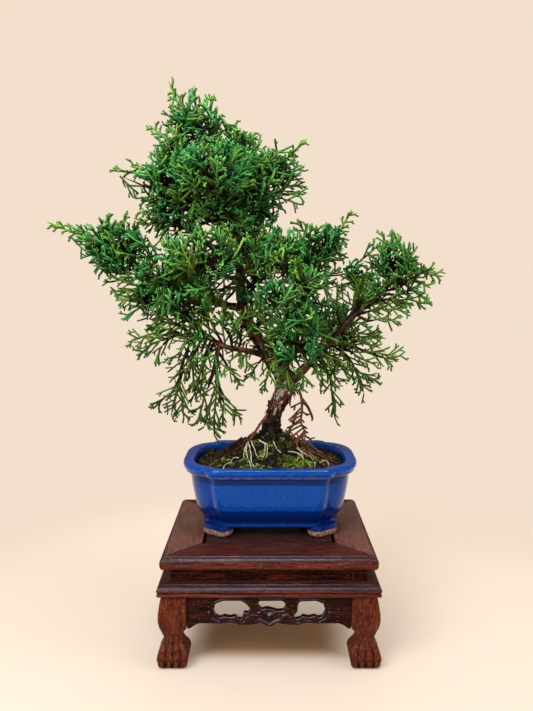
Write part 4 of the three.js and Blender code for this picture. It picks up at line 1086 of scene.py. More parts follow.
def moss_share(x, y):
    """How thick the moss grows at a place, from nothing to 1: in cushions, mostly at the front."""
    field = noise.fractal(Vector((x / 15, y / 11, 3.7)), 0.9, 2.0, 2)
    cushions = noise.noise(Vector((x / 3.6, y / 3.2, 1.3)))
    bare_left = 0.5 * math.exp(-(((x + 38) / 15) ** 2) - ((y - 8) / 15) ** 2)
    round_trunk = 0.25 * math.exp(-(((x - 5) / 18) ** 2) - ((y + 8) / 12) ** 2)
    to_back = 0.009 * (y - POT_MIDDLE[1])
    share = 0.2 + field * 1.0 + cushions * 1.3 - to_back - bare_left + round_trunk
    return min(1.0, max(0.0, share))


def rough_soil(x, y):
    """The mound with its clods, and its cushions of moss."""
    clods = noise.fractal(Vector((x / 3.6, y / 3.6, 0.5)), 0.8, 2.1, 4)
    return soil_height(x, y) + clods * 1.5 + 2.4 * moss_share(x, y) - 0.9


class BONSAI_OT_soil(bpy.types.Operator):
    """Makes the soil, its grit and its moss"""

    bl_idname = "bonsai.soil"
    bl_label = "Soil and moss"

    def execute(self, context):
        settings = context.scene.bonsai_soil
        outline = full_outline(quarter_outline(1.4))
        middle = np.array(POT_MIDDLE)
        rings = []
        for inset, height in SOIL_WALL:
            ring = outline * inset_scale(inset) + middle
            rings.append(np.column_stack([ring, np.full(len(ring), POT_BASE + height)]))
        for share in np.linspace(1.0, 0.02, 44):
            ring = outline * inset_scale(SOIL_INSET) * share + middle
            heights = [rough_soil(x, y) for x, y in ring]
            rings.append(np.column_stack([ring, heights]))
        points, triangles = skin(rings)
        shade = [0.5 + 0.5 * noise.noise(Vector(p) / 2.2) for p in points]
        soil = mesh_piece("soil_mound", points, triangles, shade=shade)
        settle(soil, ["soil"], ["soil"])
        scatter_grains(settings.grains)
        scatter_moss(settings.moss_tufts)
        scatter_litter(settings.litter)
        return {"FINISHED"}


def skin(rings):
    """A closed skin of triangles over rings of equal count, with a fan at either end."""
    count = len(rings[0])
    points = np.vstack([*rings, rings[0].mean(0), rings[-1].mean(0)])
    i = np.arange(count)
    j = (i + 1) % count
    faces = []
    for r in range(len(rings) - 1):
        a, b = r * count + i, r * count + j
        faces.append(np.column_stack([a, b, b + count]))
        faces.append(np.column_stack([a, b + count, a + count]))
    last = (len(rings) - 1) * count
    first_middle = np.full(count, len(points) - 2)
    last_middle = np.full(count, len(points) - 1)
    faces.append(np.column_stack([first_middle, j, i]))
    faces.append(np.column_stack([last_middle, last + i, last + j]))
    return points, np.vstack(faces)


def soil_places(rng, count):
    """Random places on the soil, inside the rim."""
    found = []
    while len(found) < count:
        x, y = rng.uniform(-1, 1, 2) * (47, 32) + POT_MIDDLE
        out = math.hypot((x - POT_MIDDLE[0]) / 49, (y - POT_MIDDLE[1]) / 34)
        if out < 1:
            found.append((x, y))
    return found


def scatter_grains(count):
    """Loose grit: faceted grains sunk a little into the soil."""
    rng = np.random.default_rng(SEEDS["grains"])
    mesh = bmesh.new()
    bmesh.ops.create_icosphere(mesh, subdivisions=1, radius=1.0)
    ball = np.array([v.co for v in mesh.verts])
    corners = np.array([[v.index for v in f.verts] for f in mesh.faces])
    mesh.free()
    points, faces, shade = [], [], []
    for n, (x, y) in enumerate(soil_places(rng, count)):
        size = rng.uniform(0.4, 1.05)
        grain = ball * rng.uniform(0.7, 1.3, 3) * size * rng.uniform(0.85, 1.15, (len(ball), 1))
        points.append(grain + (x, y, rough_soil(x, y) + 0.25 * size))
        faces.append(corners + n * len(ball))
        shade.append(np.full(len(ball), rng.choice([0.2, 0.35, 0.5, 0.85], p=[0.4, 0.3, 0.2, 0.1])))
    grit = mesh_piece("soil_grit", np.vstack(points), np.vstack(faces), shade=np.hstack(shade))
    settle(grit, ["soil"])


def scatter_moss(count):
    """Cushion moss: tufts of small pointed leaves, brighter where the cushion is thick."""
    rng = np.random.default_rng(SEEDS["moss"])
    leaf_faces = np.array([[0, 1, 3], [1, 2, 3], [2, 0, 3], [0, 2, 1]])
    points, shade = [], []
    for x, y in soil_places(rng, count):
        share = moss_share(x, y)
        if rng.random() > share * 2.2 - 0.25:
            continue
        ground = rough_soil(x, y)
        patches = noise.noise(Vector((x / 9, y / 9, 8.0)))
        vigour = 0.3 + 0.6 * share + 0.3 * patches + rng.uniform(-0.12, 0.12)
        for _ in range(5):
            turn, lean = rng.uniform(0, 2 * math.pi), rng.uniform(0.1, 1.0)
            height, width = rng.uniform(0.9, 2.1), rng.uniform(0.22, 0.36)
            way = np.array([math.cos(turn) * lean, math.sin(turn) * lean, 1.0])
            foot_place = np.array([x, y, ground - 0.3]) + np.append(rng.uniform(-0.5, 0.5, 2), 0)
            angles = turn + np.arange(3) * 2 * math.pi / 3
            ring = foot_place + np.column_stack([np.cos(angles), np.sin(angles), np.zeros(3)]) * width
            points.append(np.vstack([ring, foot_place + unit(way) * height]))
            shade.append([vigour - 0.4] * 3 + [vigour + 0.1])
    faces = (leaf_faces[None] + 4 * np.arange(len(points))[:, None, None]).reshape(-1, 3)
    moss = mesh_piece("soil_moss", np.vstack(points), faces, shade=np.hstack(shade))
    settle(moss, ["moss"])


def scatter_litter(count):
    """Dead twigs and fallen cords on the soil, more of them on the bare ground at the left."""
    rng = np.random.default_rng(SEEDS["litter"])
    bundle = Bundle()
    for x, y in soil_places(rng, count * 2):
        left = math.exp(-(((x + 34) / 16) ** 2))
        if rng.random() > 0.3 + 0.7 * left or bundle.count > count * 26:
            continue
        heading = rng.normal(0.35, 0.35) if rng.random() < left else rng.uniform(0, math.pi)
        length = rng.uniform(2.0, 5.0) + 4.5 * left * rng.random()
        half = np.array([math.cos(heading), math.sin(heading)]) * length / 2
        knots = []
        for share in (-1, 0, 1):
            px, py = np.array([x, y]) + half * share + rng.uniform(-0.4, 0.4, 2)
            knots.append((px, py, rough_soil(px, py) + rng.uniform(0.1, 0.8)))
        radius = rng.uniform(0.18, 0.42)
        bundle.add(*tube(knots, [radius, radius, radius * 0.6], 4))
    settle(bundle.piece("soil_litter"), ["litter"])


# The wood

# Each limb: its route, and its radii spread evenly along it. They follow the CAD solid, but the
# trunk is slimmer low down and lies a little further left there.
LIMBS = {
    "trunk": (
        [
            (1.0, 6, 122), (1.0, 6, 132), (2.4, 5, 143), (4.8, 3, 153), (8.8, 1.5, 162), (11.5, 0, 170),
            (8, -2, 180), (1, -4, 190), (-6, -3, 200), (-13, 0, 211), (-17, 3, 223), (-19, 4, 236),
            (-19, 2, 250), (-20, 0, 264), (-24, -2, 277), (-28, -2, 290), (-33, 0, 303), (-38, 2, 320),
            (-42, 2, 334),
        ],
        [7.2, 5.3, 4.3, 4.4, 4.6, 5.2, 5.0, 4.6, 4.2, 3.9, 3.6, 3.3, 3.0, 2.8, 2.6, 2.3, 2.0, 1.6, 1.2],
    ),
    "right": (
        [
            (11, 0, 169), (21, 4, 177), (32, 8, 188), (42, 10, 198), (49, 9, 206), (56, 6, 216),
            (64, 4, 222), (72, 2, 228), (77, 0, 234),
        ],
        [3.9, 3.3, 2.9, 2.6, 2.4, 2.3, 1.9, 1.6, 1.3],
    ),
    "low_right": ([(41, 10, 197), (48, 7, 197), (54, 3, 196)], [1.7, 1.4, 1.1]),
    "mid_right": ([(56, 6, 215), (58, 10, 222), (59, 12, 229)], [1.5, 1.2, 1.0]),
    "low_left": (
        [
            (1, -4, 189), (-9, -10, 193), (-17, -14, 195), (-27, -16, 197), (-35, -16, 201),
            (-45, -18, 205), (-55, -18, 205),
        ],
        [2.4, 2.0, 1.8, 1.7, 1.5, 1.3, 1.0],
    ),
    "low_left_rise": ([(-41, -17, 203), (-45, -19, 209)], [1.3, 1.0]),
    "low_left_drop": ([(-50, -18, 204), (-56, -19, 198), (-58, -20, 191)], [1.2, 1.0, 0.9]),
    "hanging": ([(-32, -16, 200), (-34, -19, 190), (-36, -22, 180)], [1.3, 1.1, 0.9]),
    "left": (
        [
            (-17, 3, 222), (-28, -2, 224), (-40, -6, 228), (-52, -8, 232), (-65, -8, 236),
            (-77, -6, 241), (-84, -4, 247),
        ],
        [2.6, 2.3, 2.0, 1.8, 1.6, 1.4, 1.2],
    ),
    "left_low": ([(-62, -8, 235), (-69, -13, 230), (-74, -16, 227)], [1.3, 1.1, 0.9]),
    "front_left": ([(-19, 3, 240), (-27, -10, 243), (-34, -22, 246)], [1.8, 1.5, 1.1]),
    "rising_right": (
        [(-5, -3, 199), (8, 4, 209), (19, 8, 223), (28, 10, 234), (34, 12, 246)],
        [2.4, 2.1, 1.8, 1.5, 1.2],
    ),
    "front_right": (
        [(4, -3, 186), (10, -12, 197), (13, -23, 208), (13, -31, 216)], [1.9, 1.6, 1.3, 1.1],
    ),
    "low_front": ([(10, -1, 175), (12, -12, 184), (12, -23, 190)], [1.8, 1.4, 1.1]),
    "crown_low_left": ([(-25, -2, 282), (-38, -5, 288), (-52, -7, 292)], [1.7, 1.4, 1.0]),
    "crown_left": ([(-33, 0, 303), (-41, -4, 311), (-47, -6, 318)], [1.5, 1.2, 1.0]),
    "crown_right": ([(-36, 1, 313), (-28, 7, 319), (-21, 10, 323)], [1.4, 1.2, 1.0]),
    "crown_far_right": ([(-27, -2, 287), (-15, 3, 296), (-3, 6, 304)], [1.7, 1.4, 1.0]),
    "crown_front": ([(-31, -1, 298), (-32, -11, 301), (-33, -19, 303)], [1.5, 1.2, 1.0]),
    "crown_inner": ([(-21, -1, 268), (-14, 1, 276), (-8, 2, 282)], [1.5, 1.2, 1.0]),
    "mid_front": ([(-19, 2, 247), (-8, -8, 251), (0, -16, 254)], [1.5, 1.2, 1.0]),
    "back_high": ([(-23, -2, 274), (-25, 12, 283), (-27, 24, 290)], [1.8, 1.5, 1.1]),
    "back_mid": ([(-19, 3, 245), (-16, 15, 251), (-12, 27, 257)], [1.8, 1.5, 1.1]),
    "back_left": ([(-24, 0, 223), (-36, 12, 228), (-48, 24, 234)], [1.7, 1.4, 1.1]),
    "back_right": ([(30, 8, 186), (36, 19, 194), (40, 30, 202)], [1.8, 1.5, 1.1]),
}
# The trunk is painted darker towards its butt, nearly black below this height.
DARK_BUTT_BELOW = 152.0
# Sides round a limb and steps between its knots, and the radius from which its bark is furrowed.
TRUNK_DETAIL, LIMB_DETAIL = (44, 14), (10, 5)
FURROWED_FROM = 2.2
# The knots of the trunk that flakes grow between, and how many of the flakes are broad plates.
FLAKED = (0.6, 7.5)
PLATE_SHARE = 0.2
# Bleached plates on the trunk: height, heading in degrees, length, half width and how far they
# peel. Then how bleached they are.
BLEACHED_PLATES = [
    (159.5, 232, 8.5, 1.9, 1.2), (163, 258, 6.5, 1.3, 0.6), (150, 268, 6.5, 1.0, 1.4),
    (156, 285, 6.0, 0.9, 0.8),
]
BLEACHED = 0.7
# Surface roots: heading in degrees, reach and radius.
ROOTS = [(200, 22, 1.3), (150, 18, 1.2), (256, 15, 1.2), (322, 17, 1.2), (10, 20, 1.2), (82, 18, 1.4)]


def tube(points, radii, sides, relief=None):
    """A closed tube along points: its points, triangles, bark places and depths."""
    points = np.asarray(points, float)
    radii = np.asarray(radii, float)
    tangents = np.gradient(points, axis=0)
    tangents /= np.linalg.norm(tangents, axis=1)[:, None]
    side = unit(np.cross(tangents[0], (0.31, 0.82, 0.12)))
    run = np.concatenate([[0], np.cumsum(np.linalg.norm(np.diff(points, axis=0), axis=1))])
    angles = np.arange(sides) * 2 * math.pi / sides
    rings, places, depths = [], [], []
    for k, (centre, tangent, radius) in enumerate(zip(points, tangents, radii)):
        side = unit(side - tangent * (side @ tangent))
        up = np.cross(tangent, side)
        ways = np.cos(angles)[:, None] * side + np.sin(angles)[:, None] * up
        reach = np.full(sides, radius)
        depth = np.zeros(sides)
        if relief is not None:
            lift, depth = relief(angles, radius, run[k])
            reach = reach + lift
        rings.append(centre + ways * reach[:, None])
        round_places = np.column_stack([np.cos(angles), np.sin(angles)]) * radius
        places.append(np.column_stack([round_places, np.full(sides, run[k])]))
        depths.append(depth)
    vertices, faces = skin(rings)
    places = np.vstack([*places, places[0].mean(0), places[-1].mean(0)])
    return vertices, faces, places, np.hstack([*depths, 0, 0])


class Bundle:
    """Tubes and other shapes gathered into one mesh."""

    def __init__(self):
        self.parts = []
        self.count = 0

    def add(self, points, faces, places, depths, bleached=0.0):
        share = np.full(len(points), bleached)
        self.parts.append((points, faces + self.count, places, depths, share))
        self.count += len(points)

    def piece(self, name):
        points, faces, places, depths, shares = (np.concatenate(part) for part in zip(*self.parts))
        return mesh_piece(name, points, faces, bark_place=places, depth=depths, bleached=shares)


def bark_relief(depth, seed):
    """A rule for the furrows and strips of bark round a tube."""

    def relief(angles, radius, run):
        lifts, depths = [], []
        for angle in angles:
            across = (math.cos(angle) * radius / 2.4, math.sin(angle) * radius / 2.4)
            place = Vector((*across, run / 11 + seed))
            strip = noise.fractal(place, 0.8, 2.2, 3)
            fine = noise.noise(Vector((place.x * 3.4, place.y * 3.4, run / 5 + seed)))
            ridge = math.copysign(abs(strip) ** 0.65, strip)
            lifts.append(depth * (0.7 * ridge + 0.28 * fine) * min(1.0, radius / 6))
            # Painted shade: the deeper a furrow sinks, the darker it is painted.
            depths.append(min(1.0, max(0.0, -0.05 - 3.2 * strip)))
        return np.array(lifts), np.array(depths)

    return relief


def radius_at(radii, place):
    return np.interp(place, np.arange(len(radii)), radii)


def flake(rng, centre, outward, along, size):
    """A peeling strip of bark, fixed at one end and lifting at the other. Size holds its length,
    its half width and how far it peels off."""
    across = unit(np.cross(outward, along))
    length, width, peel = size
    rings = []
    for t in np.linspace(0, 1, 5):
        lift = 0.4 + peel * t**2
        narrow = width * (1 - 0.55 * t**2) * rng.uniform(0.85, 1.15)
        middle = centre + along * length * t + outward * lift
        thick = outward * (0.12 + 0.22 * width) * (1 - 0.6 * t)
        left, right = middle - across * narrow, middle + across * narrow
        rings.append(np.array([left, right, right + thick, left + thick]))
    return skin(rings)


class BONSAI_OT_wood(bpy.types.Operator):
    """Makes the trunk with its flaking bark, the limbs and the surface roots"""

    bl_idname = "bonsai.wood"
    bl_label = "Trunk and branches"

    def execute(self, context):
        settings = context.scene.bonsai_wood
        rng = np.random.default_rng(SEEDS["flakes"])
        bundle = Bundle()
        for n, (name, (route, radii)) in enumerate(LIMBS.items()):
            sides, steps = TRUNK_DETAIL if name == "trunk" else LIMB_DETAIL
            points, places = smooth_route(route, steps)
            relief = bark_relief(settings.bark_depth, n * 3.1) if radii[0] > FURROWED_FROM else None
            bundle.add(*tube(points, radius_at(radii, places), sides, relief))
        for heading, reach, radius in ROOTS:
            bundle.add(*surface_root(math.radians(heading), reach, radius))
        self.add_flakes(bundle, settings.flakes, rng)
        for points, _, _, depths, _ in bundle.parts:
            # The butt is painted darker towards the bottom.
            depths += np.clip((DARK_BUTT_BELOW - points[:, 2]) / 9, 0, 0.9)
        wood = bundle.piece("trunk_and_branches_bark")
        settle(wood, ["bark"], ["trunk_and_branches"])
        return {"FINISHED"}

    @staticmethod
    def add_flakes(bundle, count, rng):
        route, radii = LIMBS["trunk"]
        points, places = smooth_route(route, TRUNK_DETAIL[1])
        tangents = np.gradient(points, axis=0)
        low, high = (int(np.searchsorted(places, knot)) for knot in FLAKED)
        for _ in range(count):
            k = int(rng.integers(low, high))
            tangent = unit(tangents[k])
            angle = rng.uniform(0, 2 * math.pi)
            side = unit(np.cross(tangent, (0.3, 0.8, 0.1)))
            outward = math.cos(angle) * side + math.sin(angle) * np.cross(tangent, side)
            girth = float(radius_at(radii, places[k]))
            centre = points[k] + outward * (girth - 0.25)
            astray = np.cross(tangent, outward)
            along = unit(tangent * rng.choice([-1, 1]) + astray * rng.uniform(-0.3, 0.3))
            size = (rng.uniform(3.5, 9.0), rng.uniform(0.5, 1.5), rng.uniform(0.6, 2.2))
            if rng.random() < PLATE_SHARE:
                size = (rng.uniform(6.0, 12.0), rng.uniform(1.4, 2.6), rng.uniform(0.6, 2.6))
            vertices, faces = flake(rng, centre, outward, along, size)
            bark_place = vertices - points[k] + (0, 0, rng.uniform(0, 40))
            bundle.add(vertices, faces, bark_place, np.zeros(len(vertices)))
        for height, heading, length, width, peel in BLEACHED_PLATES:
            k = int(np.argmin(np.abs(points[: len(points) // 3, 2] - height)))
            tangent = unit(tangents[k])
            turn = math.radians(heading)
            level = np.array([math.cos(turn), math.sin(turn), 0])
            outward = unit(level - tangent * (level @ tangent))
            centre = points[k] + outward * (float(radius_at(radii, places[k])) + 0.5)
            vertices, faces = flake(rng, centre, outward, tangent, (length, width, peel))
            depths = np.zeros(len(vertices))
            bundle.add(vertices, faces, vertices - points[k], depths, bleached=BLEACHED)


def surface_root(angle, reach, radius):
    """A woody root that leaves the butt of the trunk and dives into the soil."""
    knots = []
    for distance, lift in ((2, 1.0), (reach * 0.35, -0.6), (reach * 0.7, -1.3), (reach, -4)):
        x = TRUNK_FOOT[0] + math.cos(angle) * distance
        y = TRUNK_FOOT[1] + math.sin(angle) * distance
        knots.append((x, y, soil_height(x, y) + lift))
    points, places = smooth_route(knots, 6)
    radii = [radius * 1.5, radius, radius * 0.75, radius * 0.5]
    return tube(points, radius_at(radii, places), 10, bark_relief(0.5, angle))


# Fine roots that the CAD solid is too coarse for: [x, y, height over the soil], and the radius at
# the start and the end.
PALE_ROOTS = [
    ([(-15, -8, 6), (-15, -12, 3), (-13, -17, 1), (-11, -23, 0.4)], 0.6, 0.4),
    ([(-14, -8, 6.5), (-12, -13, 3), (-11, -19, 1), (-7, -25, 0)], 0.55, 0.35),
    ([(-12, -7, 6), (-9, -12, 2.5), (-7, -17, 1), (-10, -24, 0.3)], 0.5, 0.3),
    ([(-15, -7, 5), (-17, -12, 2), (-14, -18, 0.8), (-13, -24, 0.2)], 0.42, 0.3),
    ([(-7, -6, 4), (-3, -9, 3), (-3, -13, 1.2), (-6, -17, 0.4)], 0.45, 0.3),
    ([(-4, -7, 3), (-1, -10, 2.2), (-2, -15, 0.6)], 0.4, 0.3),
    ([(3, -7, 3), (5, -10, 2), (8, -12, 0.8)], 0.45, 0.3),
    ([(-22, -16, 0.4), (-27, -15, 1.4), (-30, -19, 1.2), (-29, -24, 0.1)], 0.5, 0.35),
    ([(-20, -12, 0.8), (-24, -12, 1.8), (-26, -16, 0.4)], 0.35, 0.25),
    ([(-7, -26, 0.4), (-2, -25, 1.2), (2, -29, 0)], 0.5, 0.35),
    ([(13, -10, 0.8), (19, -10, 1.8), (24, -13, 1.2), (27, -18, 1.4), (28, -25, 0)], 0.5, 0.35),
    ([(16, -6, 2.5), (22, -8, 2), (28, -9, 1.5), (31, -14, 1.0), (29, -20, 0.2)], 0.45, 0.3),
    ([(18, -4, 3), (23, -12, 1.5), (20, -16, 0.4)], 0.35, 0.25),
    ([(34, -12, 1.2), (38, -9, 2.2), (41, -12, 0.6)], 0.35, 0.25),
]
RED_ROOTS = [
    ([(0, 1, 15), (-6, -4, 12), (-11, -6, 8), (-14.5, -8, 5), (-17, -8, 2)], 1.1, 0.6),
    ([(-13, -8, 6.5), (-16, -6, 7), (-18, -7, 4), (-17, -9, 3)], 0.45, 0.3),
    ([(17, -5, 2.5), (22, -6, 2.0), (28, -7, 2.2), (36, -8, 1.6), (44, -10, 0)], 0.6, 0.35),
    ([(20, -2, 3), (25, -2, 3.4), (31, -4, 2.6), (40, -3, 1.4), (47, -4, 0)], 0.7, 0.35),
    ([(19, 0, 7), (23, -4, 3), (30, -9, 1.6), (38, -14, 0)], 0.6, 0.35),
    ([(26, -2, 4), (29, -7, 2), (35, -11, 1), (40, -15, 0)], 0.6, 0.35),
    ([(22, 2, 5), (30, 0, 3.4), (38, 1, 1.8), (45, 2, 0)], 0.7, 0.35),
    ([(11, -2, 7), (15, -3, 8), (18, -4, 5), (21, -5, 1)], 0.6, 0.4),
]
DARK_ROOTS = [
    ([(-12, 2, 1.5), (-22, 0, 1.2), (-33, -3, 1.0), (-45, -6, 0.8)], 1.0, 0.5),
    ([(-14, -2, 2), (-25, -5, 1.6), (-36, -8, 1.2), (-44, -12, 0.6)], 1.2, 0.5),
    ([(-16, 5, 1.4), (-28, 4, 1.2), (-38, 2, 1.0), (-48, -1, 0.4)], 1.0, 0.5),
    ([(-10, -3, 3), (-20, -7, 1.2), (-29, -10, 0.8), (-38, -15, 0)], 0.9, 0.4),
    ([(-18, 9, 2), (-30, 9, 1.8), (-42, 8, 0.4)], 1.1, 0.5),
    ([(-22, -3, 2.8), (-32, -5, 2.4), (-43, -9, 1.6)], 0.5, 0.35),
    ([(-8, 1, 2), (-14, -2, 1.5), (-21, -6, 0.5)], 0.7, 0.4),
]


class BONSAI_OT_roots(bpy.types.Operator):
    """Makes the fine pale roots and the reddish ones that lie on the soil"""

    bl_idname = "bonsai.roots"
    bl_label = "Fine roots"

    def execute(self, context):
        for name, roots, material, girth in (
            ("roots_pale", PALE_ROOTS, "pale_root", 0.82), ("roots_red", RED_ROOTS, "red_root", 1.0),
            ("roots_dark", DARK_ROOTS, "litter", 0.7),
        ):
            bundle = Bundle()
            for n, (knots, start, end) in enumerate(roots):
                knots = [(x, y, soil_height(x, y) + lift) for x, y, lift in knots]
                points, places = smooth_route(knots, 5)
                # Blender seeds this noise from the clock, so it differs from run to run.
                wander = [noise.noise_vector(Vector(p) / 3 + Vector((n, 0, 0))) * 0.6 for p in points]
                points = points + np.array(wander)
                share = places / places[-1]
                bundle.add(*tube(points, (start + (end - start) * share) * girth, 6))
            settle(bundle.piece(name), [material])
        return {"FINISHED"}


# The foliage

